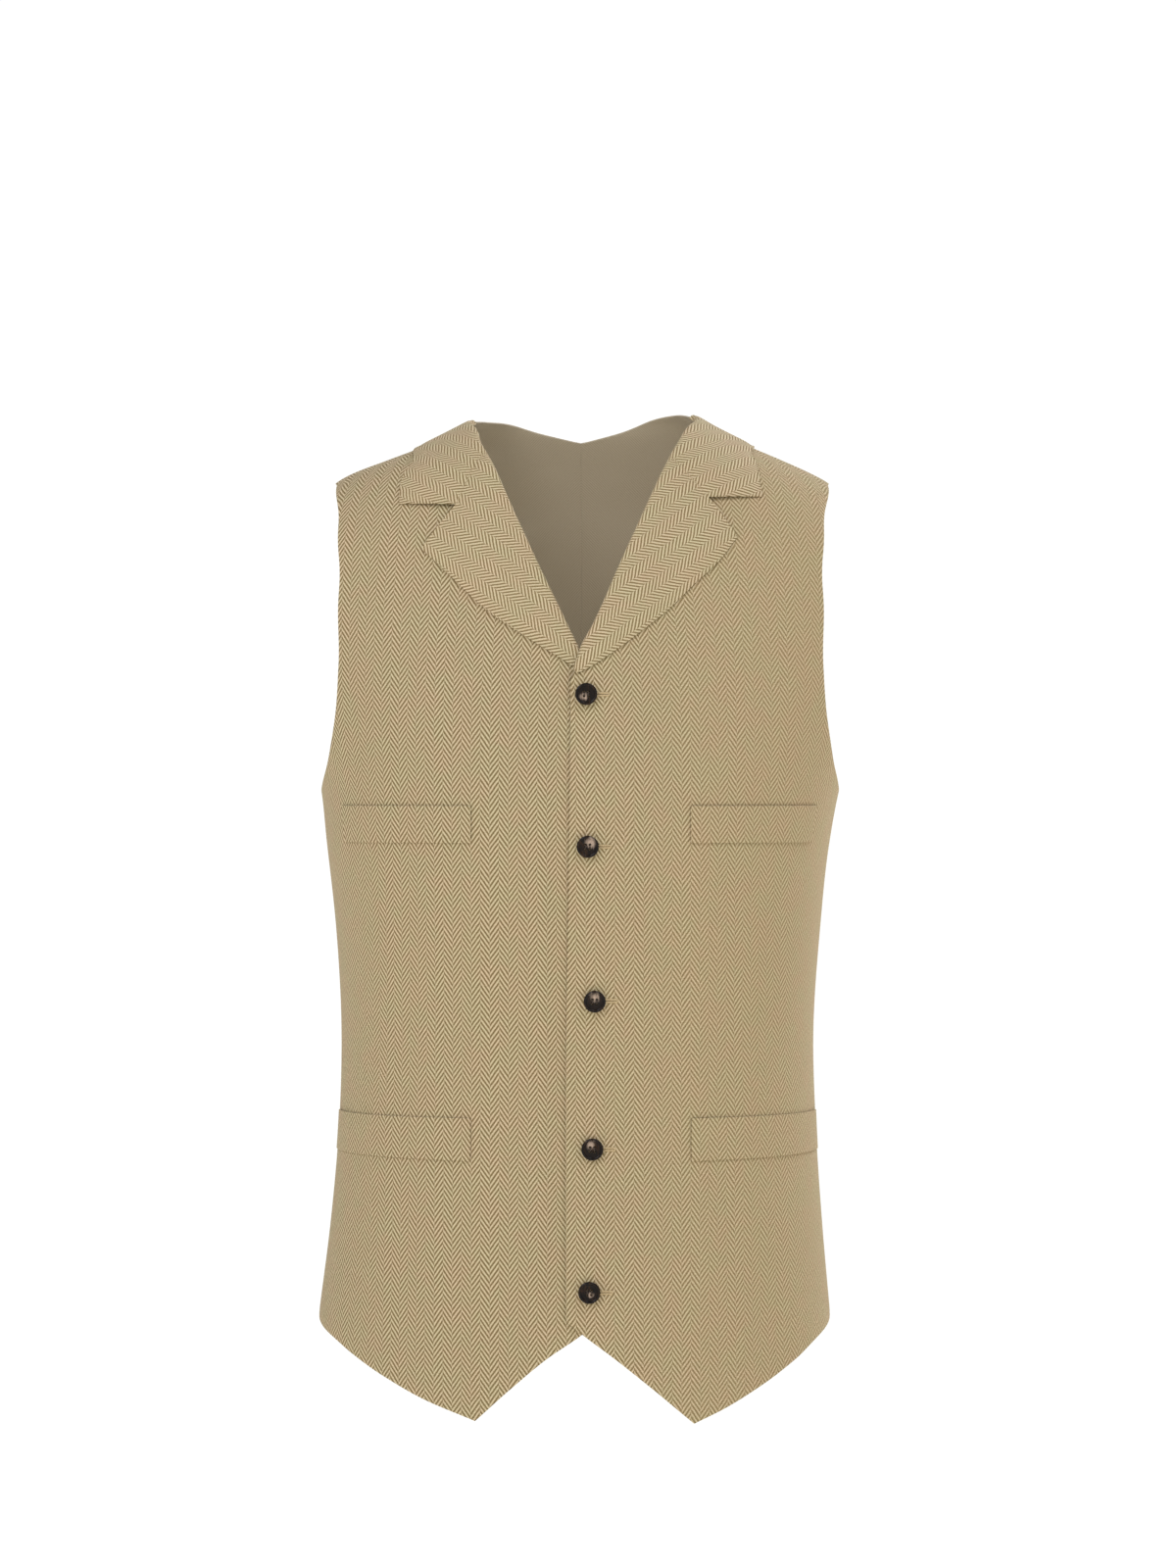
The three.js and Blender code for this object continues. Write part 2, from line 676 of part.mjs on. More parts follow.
// A sew-through button of turned horn: a raised rim round a dished middle with four holes
function button(place) {
  const { radius, thick, edge, rim, dish, holeRadius, holeOffset } = BUTTON;
  const profile = [
    new THREE.Vector2(0, 0),
    new THREE.Vector2(radius - rim, 0),
    new THREE.Vector2(radius, edge),
    new THREE.Vector2(radius - 0.2 * rim, thick - 0.3),
    new THREE.Vector2(radius - 0.6 * rim, thick),
    new THREE.Vector2(radius - rim, thick - 0.2),
    new THREE.Vector2(radius - 1.8 * rim, thick - dish),
    new THREE.Vector2(0, thick - dish),
  ];
  const body = new THREE.LatheGeometry(profile, 20).rotateX(Math.PI / 2);
  let solid = toSolid(body);
  for (const [x, y] of [[1, 1], [-1, 1], [-1, -1], [1, -1]]) {
    const hole = new THREE.CylinderGeometry(holeRadius, holeRadius, 3 * thick, 6).rotateX(Math.PI / 2);
    solid = solid.subtract(toSolid(hole.translate(x * holeOffset, y * holeOffset, 0)));
  }
  return toGeometry(solid).applyMatrix4(buttonFrame(place, BUTTON_SEAT));
}

// The wrapped thread that joins a button to the under front through the buttonhole's eye
function shank(place) {
  const depth = overlapLift(place.x, place.z);
  const length = depth + BUTTON_SEAT - 2 * SHANK_GAP;
  const post = new THREE.CylinderGeometry(SHANK_RADIUS, SHANK_RADIUS, length, 8).rotateX(Math.PI / 2);
  return post.translate(0, 0, SHANK_GAP + length / 2 - depth).applyMatrix4(buttonFrame(place, 0));
}

for (const side of ['right', 'left']) {
  const foldLine = fold(side);
  const panel = front(side, foldLine);
  add(`front_${side}`, side === 'left' ? cutButtonholes(panel) : panel, SUITING);
  add(`back_${side}`, back(side), BACKING);
  add(`lapel_${side}`, lapel(side, foldLine), SUITING);
  add(`collar_${side}`, collar(side, foldLine), SUITING);
  for (const size of WELTS) add(`${size.name}_${side}`, welt(side, size), SUITING);
}

BUTTONS.forEach((place, i) => {
  add(`button_${i + 1}`, button(place), HORN);
  add(`shank_${i + 1}`, shank(place), THREAD);
});

export default group;
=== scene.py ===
"""A single-breasted suit waistcoat with notched lapels in tan herringbone cloth, filled out as it is when
worn, with nobody in it. Sizes are in millimetres until a mesh is made, and in metres from there on:
+X to the wearer's left, -Y to the front, +Z up, with the origin midway between the shoulder seams."""

import json

import bpy
import numpy as np
from mathutils import Vector
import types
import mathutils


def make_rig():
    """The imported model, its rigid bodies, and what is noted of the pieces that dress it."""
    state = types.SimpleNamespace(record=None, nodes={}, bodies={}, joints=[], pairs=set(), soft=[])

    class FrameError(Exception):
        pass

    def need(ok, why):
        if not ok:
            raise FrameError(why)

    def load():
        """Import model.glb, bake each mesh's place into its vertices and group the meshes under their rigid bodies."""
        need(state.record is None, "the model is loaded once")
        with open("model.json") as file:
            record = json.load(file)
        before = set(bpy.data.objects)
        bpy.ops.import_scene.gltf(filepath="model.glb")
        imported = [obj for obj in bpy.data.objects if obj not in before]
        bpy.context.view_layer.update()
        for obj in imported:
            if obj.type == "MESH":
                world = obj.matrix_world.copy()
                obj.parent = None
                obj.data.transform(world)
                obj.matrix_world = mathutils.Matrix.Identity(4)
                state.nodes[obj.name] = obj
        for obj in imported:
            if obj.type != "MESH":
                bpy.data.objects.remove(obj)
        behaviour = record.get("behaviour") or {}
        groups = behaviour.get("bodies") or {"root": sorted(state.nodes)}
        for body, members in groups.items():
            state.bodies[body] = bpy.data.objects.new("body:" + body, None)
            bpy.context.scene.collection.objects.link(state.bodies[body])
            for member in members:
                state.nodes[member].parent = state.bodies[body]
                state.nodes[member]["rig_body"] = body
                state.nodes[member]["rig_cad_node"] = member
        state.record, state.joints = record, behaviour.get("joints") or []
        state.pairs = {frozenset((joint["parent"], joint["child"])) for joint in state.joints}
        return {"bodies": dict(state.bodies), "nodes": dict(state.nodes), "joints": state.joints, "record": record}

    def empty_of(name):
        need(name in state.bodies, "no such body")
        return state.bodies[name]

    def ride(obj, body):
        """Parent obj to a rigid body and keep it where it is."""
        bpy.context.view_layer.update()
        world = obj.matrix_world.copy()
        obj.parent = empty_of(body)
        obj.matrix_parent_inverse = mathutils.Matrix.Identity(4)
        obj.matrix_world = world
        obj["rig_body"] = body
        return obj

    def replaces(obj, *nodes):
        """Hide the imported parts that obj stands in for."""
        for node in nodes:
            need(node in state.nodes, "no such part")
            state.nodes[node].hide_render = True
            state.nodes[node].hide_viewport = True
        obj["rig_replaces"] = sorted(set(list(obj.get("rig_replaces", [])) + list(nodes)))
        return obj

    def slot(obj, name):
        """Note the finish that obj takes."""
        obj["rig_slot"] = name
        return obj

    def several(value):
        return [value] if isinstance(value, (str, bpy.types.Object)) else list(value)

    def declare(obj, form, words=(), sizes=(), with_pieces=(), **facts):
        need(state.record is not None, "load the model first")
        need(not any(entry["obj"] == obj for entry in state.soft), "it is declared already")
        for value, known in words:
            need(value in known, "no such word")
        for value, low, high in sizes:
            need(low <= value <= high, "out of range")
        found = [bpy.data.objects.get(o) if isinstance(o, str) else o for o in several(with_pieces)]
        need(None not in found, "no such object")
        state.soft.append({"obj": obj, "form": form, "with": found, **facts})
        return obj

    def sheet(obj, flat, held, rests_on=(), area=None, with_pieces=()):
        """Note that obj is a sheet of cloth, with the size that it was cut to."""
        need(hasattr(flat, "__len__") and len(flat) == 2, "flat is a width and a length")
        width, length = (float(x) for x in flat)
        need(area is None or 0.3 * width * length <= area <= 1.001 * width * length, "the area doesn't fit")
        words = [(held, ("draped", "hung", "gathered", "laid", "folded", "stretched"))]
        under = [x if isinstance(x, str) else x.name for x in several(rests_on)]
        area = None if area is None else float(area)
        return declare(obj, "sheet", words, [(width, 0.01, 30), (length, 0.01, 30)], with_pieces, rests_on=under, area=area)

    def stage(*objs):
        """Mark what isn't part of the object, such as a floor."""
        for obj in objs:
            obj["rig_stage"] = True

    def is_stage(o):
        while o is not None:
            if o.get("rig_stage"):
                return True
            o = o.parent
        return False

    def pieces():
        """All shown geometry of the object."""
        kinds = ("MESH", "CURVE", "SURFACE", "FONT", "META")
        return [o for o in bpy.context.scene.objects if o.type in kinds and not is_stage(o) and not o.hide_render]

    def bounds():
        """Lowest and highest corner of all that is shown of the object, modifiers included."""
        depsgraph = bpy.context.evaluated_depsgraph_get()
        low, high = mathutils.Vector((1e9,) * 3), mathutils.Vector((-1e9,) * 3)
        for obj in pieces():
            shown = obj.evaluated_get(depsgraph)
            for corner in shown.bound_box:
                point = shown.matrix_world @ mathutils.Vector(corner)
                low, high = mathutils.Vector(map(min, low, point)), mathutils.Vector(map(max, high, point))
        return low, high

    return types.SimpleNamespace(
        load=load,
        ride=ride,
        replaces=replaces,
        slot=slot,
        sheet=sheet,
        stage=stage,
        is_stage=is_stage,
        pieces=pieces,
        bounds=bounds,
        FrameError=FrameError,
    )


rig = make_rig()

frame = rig.load()
cad_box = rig.bounds()

MM = 0.001
SIDES = {"right": -1, "left": 1}

# Walls of cloth with its backing, and the clearances between pieces that lie on each other
FRONT_WALL = 2.0
LAPEL_WALL = 2.0
BACK_WALL = 1.4
WELT_WALL = 0.9
SEAM_GAP = 0.3
SEAM_LAP = 0.25  # sewn edges lap by this much, so that no light shows between them
LAY_GAP = 0.75  # between a front and the lapel or collar folded over it
EDGE_GAP = 0.12  # the outer edges of lapels and collars lie this close to the front
OVERLAP_GAP = 0.5  # between the under front and the over front
WELT_GAP = 0.3  # between a front and a welt laid on it
BUTTON_SEAT = 0.6  # between the over front and a button's underside
SHANK_GAP = 0.4  # between a shank's ends and the button over it and the under front below it
SOFT_ROLL = 1.5  # how much more a lapel stands off at most, halfway between its fold and its edge

# The garment's outer face at each height: half widths to the wearer's right and left, and depths to the
# front and back, joined round by a superellipse of this power
FORM_POWER = 2.4
FORM_COLUMNS = ("z", "right", "left", "front", "back")
FORM_ROWS = [
    (34, 46, 53, 40, 44),
    (25, 59, 67, 46, 50),
    (20, 67, 75, 49, 53),
    (10, 84, 91.5, 54, 57),
    (0, 105, 112.5, 61, 63),
    (-10, 131, 136, 67, 69),
    (-20, 157, 158, 73, 74),
    (-30, 174, 176, 78, 79),
    (-60, 204, 204, 92, 90),
    (-100, 207, 207, 106, 101),
    (-150, 199, 199, 120, 109),
    (-200, 186, 186, 129, 114),
    (-231, 178, 177, 132, 115),
    (-270, 173.5, 169.5, 131.5, 113),
    (-330, 167, 163, 125, 108),
    (-400, 163.5, 158.5, 115.5, 102),
    (-460, 165, 160, 113, 105),
    (-530, 171, 164.5, 116, 111),
    (-593, 179, 170, 119, 115),
    (-670, 188, 177, 122, 118),
]
FORM = dict(zip(FORM_COLUMNS, np.array(FORM_ROWS[::-1], float).T))

# Heights of the shoulder seams at the neck and at the tip
SHOULDER = {"right": {"neck": 17, "tip": -25.5}, "left": {"neck": 20.5, "tip": -25.5}}

# Seams and borders, each a list of points in the view that its comment names
BACK_NECK = [(1, 59), (28, 54), (50, 42), (66, 22)]  # x and y in plan, from the centre seam outwards
BACK_HEM = -590
SIDE_SEAM = {"y": 18, "underarm": -239, "hem": -587}
ARMHOLE_FRONT = [  # y and z from the side, from the underarm to the shoulder tip, as is the next
    (0, -238), (-30, -232), (-57, -217), (-75, -188), (-81, -152), (-78, -115), (-71, -78), (-55, -47),
    (-28, -29),
]
ARMHOLE_BACK = [(42, -228), (60, -205), (69, -170), (71, -125), (66, -80), (54, -48), (28, -29)]
FRONT_EDGE = {  # x and z from the front, from the hem up
    "right": [(22, -577), (22, -400), (22, -215), (19, -184), (10, -160)],
    "left": [(-10, -585), (-10, -425), (-8, -295), (-6.5, -163)],
}
ROLL = {  # x and z from the front: the fold of lapel and collar, from its foot up
    "right": [(4, -150), (-0.5, -141), (-13, -115), (-26, -88), (-38, -62), (-50, -35), (-57.5, -18),
              (-66, -2.5), (-70, 9)],
    "left": [(-6, -157), (-0.5, -141), (7.5, -126), (24, -88), (35.5, -62), (47.5, -35), (55.5, -18),
             (64.5, -1), (72, 11)],
}
LAPEL = {  # x and z from the front, and the height at which the gorge seam meets the fold
    "right": {"gorge": -9, "notch": (-83, -46),
              "edge": [(1, -158), (-14.5, -148), (-36, -134.5), (-60.5, -118), (-84, -96), (-106, -75)]},
    "left": {"gorge": -12, "notch": (84.5, -41),
             "edge": [(-2.5, -160), (8, -154.5), (24.5, -143), (41, -130), (58, -116), (74.5, -99.5),
                      (91, -84), (104, -67)]},
}
COLLAR = {  # x and z from the front, and the height of the outer edge at the shoulder seam
    "right": {"seam": 2, "edge": [(-121, -44.5), (-121, -31.5), (-119, -24), (-112.5, -14.5)]},
    "left": {"seam": -0.5, "edge": [(121, -39.5), (119.5, -29), (118, -17), (115, -8)]},
}
HEM = {  # x and z from the front, from the front edge over the point to near the side seam
    "right": {"inner": [(0, -594.5), (-24, -611), (-49, -632)], "point": (-70, -651),
              "outer": [(-104, -638), (-132, -624), (-154, -611), (-167, -602.5)]},
    "left": {"inner": [(2, -594.5), (24, -611), (50, -632)], "point": (75, -653),
             "outer": [(97, -643), (122, -629), (143, -615.5), (159, -603)]},
}
HEM_POINT = 0.36  # how far across a front's columns its hem's point lies

# Pocket welts: inner end from the front, outer end from the side, top edge, and depth at each end
WELTS = {
    "upper": {"inner": 72, "outer": -69, "top": -245.5, "depth": (24.5, 24.5)},
    "lower": {"inner": 73, "outer": -20, "top": -452, "depth": (28.5, 26.5)},
}

MOUTH = {"right": 0.15, "left": 0.25}  # how far the cloth dips into the pockets above the welts

# The middle of each button, x and z from the front, from the top down
BUTTONS = [(3.5, -173), (4.5, -272), (9, -373.5), (7.5, -472), (5.5, -566)]
# The bead is the height of the rim's rounded crest, and half its width as a share of the rim
BUTTON = {
    "radius": 7.25, "thick": 3.1, "edge": 1.6, "rim": 1.5, "bead": 0.62, "dish": 0.8, "hole": 0.95,
    "hole_offset": 1.4,
}
# Where the pale cloud painted as each button's highlight lies in its horn, in degrees from the level towards up, and
# how small it is
PAINTED_HIGHLIGHTS = [(225, 1.2), (60, 0.9), (90, 0.95), (100, 1.0), (300, 1.6)]
BUTTONHOLE = {"length": 16, "width": 1, "eyelet": 1.7}
# Buttonhole stitches: their spacing, how far their middle lies outside the cut edge and off the cloth, and
# the mean radius of their cord and how much it swells and shrinks
STITCH = {"every": 0.6, "outside": 0.22, "lift": 0.12, "radius": 0.62, "swell": 0.13}
SHANK_RADIUS = 1.1
WRAP = {"every": 0.45, "swell": 0.12}  # the turns of thread round a shank
LOOP_RADIUS = 0.38  # of the thread through a button's holes

# The over front is raised over the under front, and at the top over the under front's lapel as well
OVERLAP = (26, 62)
LAPEL_TAIL = {"across": (8, 40), "up": (-186, -164)}

# Steps of the panels' grids, the same as in the solids: up the side seam, the front edge, the gap to the
# fold, the lapel, the collar, the shoulder blades and the back neck, and across each panel
SIDE_STEPS, EDGE_STEPS, BREAK_STEPS, LAPEL_STEPS, COLLAR_STEPS = 12, 3, 1, 9, 5
BLADE_STEPS, NECK_STEPS = 9, 5
FRONT_COLUMNS, BACK_COLUMNS, FLAP_COLUMNS, FOLD_COLUMNS = 18, 14, 6, 4
FRONT_STEPS = SIDE_STEPS + EDGE_STEPS + BREAK_STEPS + LAPEL_STEPS + COLLAR_STEPS
BACK_STEPS = SIDE_STEPS + BLADE_STEPS + NECK_STEPS
FOLD_STEPS = LAPEL_STEPS + COLLAR_STEPS
DENSE = 40  # border points to a step

# Steps up a front between which its rows lie close together, for the edges of the pocket mouths
MOUTH_ROWS = [(4.33, 4.76), (11.64, 11.87)]
MOUTH_ROW_STEP = 0.022

# Below this height the flattened fronts are held to the distances round the form, so that their weave
# stands upright. The hold is reached this much further down, and goes with the square of the depth
UPRIGHT = {"below": -190, "reach": 100, "hold": 20}

# Soft creases on each panel: from one point to the other, seen from the front or the back, with the half
# width and the height of the ridge, or the depth of the trough where it is negative
CREASES = {
    "front_right": [
        ((-17, -180), (-18, -560), 6.0, -1.1),
        ((-24, -155), (-108, -83), 6.0, -0.9),
        ((-118, -250), (-96, -420), 16.0, -0.7),
        ((-60, -480), (-96, -600), 15.0, 0.6),
        ((-130, -150), (-70, -220), 14.0, -0.5),
        ((-40, -330), (-120, -395), 13.0, -0.5),
    ],
    "front_left": [
        ((14, -159), (46, -132), 6.0, -0.8),
        ((62, -120), (103, -79), 6.0, -0.9),
        ((86, -472), (129, -601), 12.0, -0.9),
        ((48, -440), (58, -600), 14.0, 0.6),
        ((118, -250), (100, -420), 15.0, -0.8),
        ((134, -150), (80, -215), 14.0, -0.6),
        ((50, -335), (128, -400), 13.0, -0.5),
    ],
    "back_right": [
        ((-30, -400), (-140, -370), 8.0, -2.8),
        ((-40, -414), (-136, -402), 7.0, 1.3),
        ((-48, -430), (-138, -438), 9.0, -2.4),
        ((-64, -356), (-140, -316), 9.0, -2.2),
        ((-60, -378), (-138, -344), 7.0, 1.2),
        ((-44, -62), (-122, -118), 10.0, -2.0),
        ((-126, -196), (-106, -292), 9.0, -1.8),
        ((-76, -470), (-106, -575), 11.0, -2.0),
        ((-22, -330), (-26, -190), 12.0, 1.6),
    ],
    "back_left": [
        ((32, -408), (136, -380), 8.0, -2.7),
        ((40, -424), (132, -414), 7.0, 1.3),
        ((40, -442), (132, -452), 9.0, -2.2),
        ((56, -364), (136, -328), 8.0, -2.3),
        ((60, -386), (134, -354), 7.0, 1.1),
        ((50, -70), (124, -126), 11.0, -1.9),
        ((124, -204), (104, -300), 9.0, -1.7),
        ((68, -478), (112, -578), 11.0, -2.1),
        ((30, -330), (24, -200), 11.0, 1.5),
    ],
}

# The herringbone of the fronts and of the flaps: the width of one leg of the zigzag, the pitch of its
# strokes down a leg, how many pitches a stroke rises across a leg, and where the first leg starts
WEAVE = {"leg": 6.35, "pitch": 4.0, "rise": 2.2, "phase": 0.5}
FLAP_WEAVE = {"leg": 7.1, "pitch": 3.1, "rise": 2.4, "phase": 0.0}
GRAIN = {"lapel": 29, "collar": 36}  # how many degrees their columns lean off the fold


def smooth(value, low, high):
    """0 below low, 1 above high, and t*t*(3 - 2t) between, where t is the share of the way."""
    t = np.clip((value - low) / (high - low), 0, 1)
    return t * t * (3 - 2 * t)


def unit(vectors):
    return vectors / np.linalg.norm(vectors, axis=-1, keepdims=True)


def hermite(start, end, start_slope, end_slope, t):
    """The cubic from start to end with those slopes, at shares t of the way."""
    return (
        (1 + 2 * t) * (1 - t) ** 2 * start
        + t * (1 - t) ** 2 * start_slope
        + t * t * (3 - 2 * t) * end
        + t * t * (t - 1) * end_slope
    )


def form_value(column, z):
    """A column of the form's table at height z: a cubic between each two rows, whose slope at a row is
    the mean of the slopes on both sides, each weighted by the other side's step."""
    rows, values = FORM["z"], FORM[column]
    step = np.diff(rows)
    slope = np.diff(values) / step
    middle = (slope[:-1] * step[1:] + slope[1:] * step[:-1]) / (step[1:] + step[:-1])
    tangent = np.concatenate([slope[:1], middle, slope[-1:]])
    z = np.clip(z, rows[0], rows[-1])
    i = np.clip(np.searchsorted(rows, z, side="right") - 1, 0, len(step) - 1)
    t = (z - rows[i]) / step[i]
    return hermite(values[i], values[i + 1], step[i] * tangent[i], step[i] * tangent[i + 1], t)


def form_point(place):
    """A point of the form at an angle phi round from the centre front and a height z. Its reach from the
    axis is (|sin phi / width|^n + |cos phi / depth|^n)^(-1/n)."""
    phi, z = place[..., 0], place[..., 1]
    s, c = np.sin(phi), np.cos(phi)
    width = np.where(s > 0, form_value("left", z), form_value("right", z))
    depth = np.where(c > 0, form_value("front", z), form_value("back", z))
    total = (np.abs(s) / width) ** FORM_POWER + (np.abs(c) / depth) ** FORM_POWER
    reach = total ** (-1 / FORM_POWER)
    return np.stack([reach * s, -reach * c, z], -1)


def form_tangents(place):
    """The form's change per radian round and per millimetre up, by central differences."""
    turn, rise = np.array([1e-3, 0.0]), np.array([0.0, 0.5])
    around = (form_point(place + turn) - form_point(place - turn)) / (2 * turn[0])
    up = (form_point(place + rise) - form_point(place - rise)) / (2 * rise[1])
    return around, up


def form_normal(place):
    return unit(np.cross(*form_tangents(place)))


def slide(place, direction, distance):
    """A place moved along a direction in the surface: the least-squares solution in its two tangents."""
    around, up = form_tangents(place)
    aa, au, uu = ((p * q).sum(-1) for p, q in ((around, around), (around, up), (up, up)))
    da = (around * direction).sum(-1) * distance
    du = (up * direction).sum(-1) * distance
    moved = np.stack([da * uu - du * au, du * aa - da * au], -1) / (aa * uu - au * au)[..., None]
    return place + moved


def remainder(share):
    return np.maximum(0, 1 - np.abs(share) ** FORM_POWER) ** (1 / FORM_POWER)


def front_view(points):
    """Places on the front half of the form from x and z as seen from the front."""
    x, z = np.moveaxis(np.asarray(points, float), -1, 0)
    width = np.where(x > 0, form_value("left", z), form_value("right", z))
    return np.stack([np.arctan2(x, form_value("front", z) * remainder(x / width)), z], -1)


def side_view(side, points):
    """Places on one side of the form from y and z as seen from that side."""
    y, z = np.moveaxis(np.asarray(points, float), -1, 0)
    depth = np.where(y > 0, form_value("back", z), form_value("front", z))
    return np.stack([np.arctan2(SIDES[side] * form_value(side, z) * remainder(y / depth), -y), z], -1)


def plan_view(side, points):
    """Places on the back half of the form from x and y in plan: the height where the form narrows to
    that point, by halving an interval."""
    x, y = np.asarray(points, float).T
    low, high = np.full(len(x), -30.0), np.full(len(x), FORM["z"][-1])
    for _ in range(30):
        z = (low + high) / 2
        total = (x / form_value(side, z)) ** FORM_POWER + (y / form_value("back", z)) ** FORM_POWER
        low, high = np.where(total > 1, low, z), np.where(total > 1, z, high)
    return np.stack([SIDES[side] * np.arctan2(x, -y), low], -1)


def sample(line, index):
    """A line of points at fractional indices, straight between two of them."""
    return np.stack([np.interp(index, np.arange(len(line)), column) for column in line.T], -1)


TURN_SCALE = 150  # millimetres for each radian round, where lines of places are measured


def walk(places, count):
    """Places at even steps along a centripetal Catmull-Rom curve, in which each knot's spacing is the
    square root of the distance between its points."""
    points = np.asarray(places, float) * (TURN_SCALE, 1)
    points = np.vstack([2 * points[0] - points[1], points, 2 * points[-1] - points[-2]])
    t = np.linspace(0, 1, DENSE, endpoint=False)[:, None]
    spans = []
    for a, b, c, d in zip(points, points[1:], points[2:], points[3:]):
        before, span, after = (np.linalg.norm(q - p) ** 0.5 for p, q in ((a, b), (b, c), (c, d)))
        start = ((b - a) / before - (c - a) / (before + span) + (c - b) / span) * span
        end = ((c - b) / span - (d - b) / (span + after) + (d - c) / after) * span
        spans.append(hermite(b, c, start, end, t))
    line = np.vstack([*spans, points[-2]])
    length = np.concatenate([[0], np.cumsum(np.linalg.norm(np.diff(line, axis=0), axis=1))])
    index = np.interp(np.linspace(0, length[-1], count + 1), length, np.arange(len(line)))
    return sample(line, index) / (TURN_SCALE, 1)


def stretch(places, low, high, count):
    """The stretch of a rising line of places between two heights, at even steps."""
    fine = walk(places, 400)
    ends = np.interp([low, high], fine[:, 1], np.arange(len(fine)))
    return sample(fine, np.linspace(*ends, count + 1))


def straight(start, end, count):
    return start + (end - start) * np.linspace(0, 1, count + 1)[:, None]


def joined(*lines):
    """Lines that share their end points, as one."""
    return np.vstack([lines[0], *(line[1:] for line in lines[1:])])


def patch(borders, rows, columns, bottom_reach=0.4, top_reach=0.4):
    """A grid of places between a left, right, bottom and top border, which are dense lines with the same
    steps: straight across from left to right, with the bottom's and top's own shapes fading out as the
    square of the share of their reach that is left."""
    left, right, bottom, top = borders
    u = (columns / columns[-1])[:, None]
    t = (rows / rows[-1])[:, None, None]
    at_rows, at_columns = rows * DENSE, columns * DENSE
    ruled = sample(left, at_rows)[:, None] * (1 - u) + sample(right, at_rows)[:, None] * u
    low = np.maximum(0, 1 - t / bottom_reach) ** 2
    high = np.maximum(0, 1 - (1 - t) / top_reach) ** 2
    low_shape = sample(bottom, at_columns) - (left[0] * (1 - u) + right[0] * u)
    high_shape = sample(top, at_columns) - (left[-1] * (1 - u) + right[-1] * u)
    return ruled + low * low_shape + high * high_shape


def overlap_lift(point):
    """How far the left front is raised where it laps over the right one and its lapel."""
    x, z = point[..., 0], point[..., 2]
    over_front = (FRONT_WALL + OVERLAP_GAP) * (1 - smooth(x, *OVERLAP))
    over_lapel = (LAPEL_WALL + LAY_GAP) * (1 - smooth(x, *LAPEL_TAIL["across"]))
    return over_front + over_lapel * smooth(z, *LAPEL_TAIL["up"])


def crease_height(panel, point):
    """The sum of a panel's soft creases: each a Gaussian across its line, which fades out past its ends."""
    x, z = point[..., 0], point[..., 2]
    height = np.zeros_like(x)
    for start, end, width, rise in CREASES[panel]:
        along = np.subtract(end, start)
        length = np.hypot(*along)
        ax, az = along / length
        run = (x - start[0]) * ax + (z - start[1]) * az
        across = (x - start[0]) * az - (z - start[1]) * ax
        past = np.maximum(0, np.maximum(-run, run - length))
        height += rise * np.exp(-((across / width) ** 2) - (past / (1.6 * width)) ** 2)
    return height


def off_front(side, place, out):
    """Points on a side's front moved outwards from its outer face, with its overlap and creases."""
    point = form_point(place)
    lift = crease_height(f"front_{side}", point) + (overlap_lift(point) if side == "left" else 0)
    return point + form_normal(place) * (out + lift)[..., None]


def off_back(side, place, out):
    point = form_point(place)
    return point + form_normal(place) * (out + crease_height(f"back_{side}", point))[..., None]


# How far in from a panel's border the rows that round its edge lie
RIMS = np.array([0.0, 0.12, 0.35, 0.7, 1.1, 1.8, 2.8])


def steps(count, fine, first, last, extra=()):
    """Fractional grid steps from 0 to count: an even number to a step, closer ones at both ends, whose
    steps are first and last millimetres long, and any extra ones."""
    even = np.linspace(0, count, count * fine + 1)
    near = [RIMS / first, count - RIMS / last]
    inner = even[(even > near[0][-1] * 1.3) & (even < near[1][-1] - 0.3 * RIMS[-1] / last)]
    return np.unique(np.concatenate([*near, inner, *extra]))


def border_distance(points):
    """The distance of each grid point from the grid's border, measured along its row and its column."""
    nearest = np.full(points.shape[:2], np.inf)
    for axis in (0, 1):
        step = np.linalg.norm(np.diff(points, axis=axis), axis=-1)
        start = np.zeros_like(step.take([0], axis))
        run = np.concatenate([start, np.cumsum(step, axis)], axis)
        nearest = np.minimum(nearest, np.minimum(run, run.take([-1], axis) - run))
    return nearest


def along_grid(points):
    """Each grid point's distance along its row and up its column."""
    across = np.linalg.norm(np.diff(points, axis=1), axis=-1)
    up = np.linalg.norm(np.diff(points, axis=0), axis=-1)
    u = np.pad(np.cumsum(across, 1), ((0, 0), (1, 0)))
    v = np.pad(np.cumsum(up, 0), ((1, 0), (0, 0)))
    return np.stack([u, v], -1)


def round_form(place):
    """Each place's distance round the form from the centre front at its own height, and its height."""
    share = np.linspace(0, 1, 60).reshape(-1, *[1] * (place.ndim - 1))
    line = form_point(np.stack([place[..., 0] * share, place[..., 1] + 0 * share], -1))
    around = np.linalg.norm(np.diff(line, axis=0), axis=-1).sum(0)
    return np.stack([around * np.sign(place[..., 0]), place[..., 1]], -1)


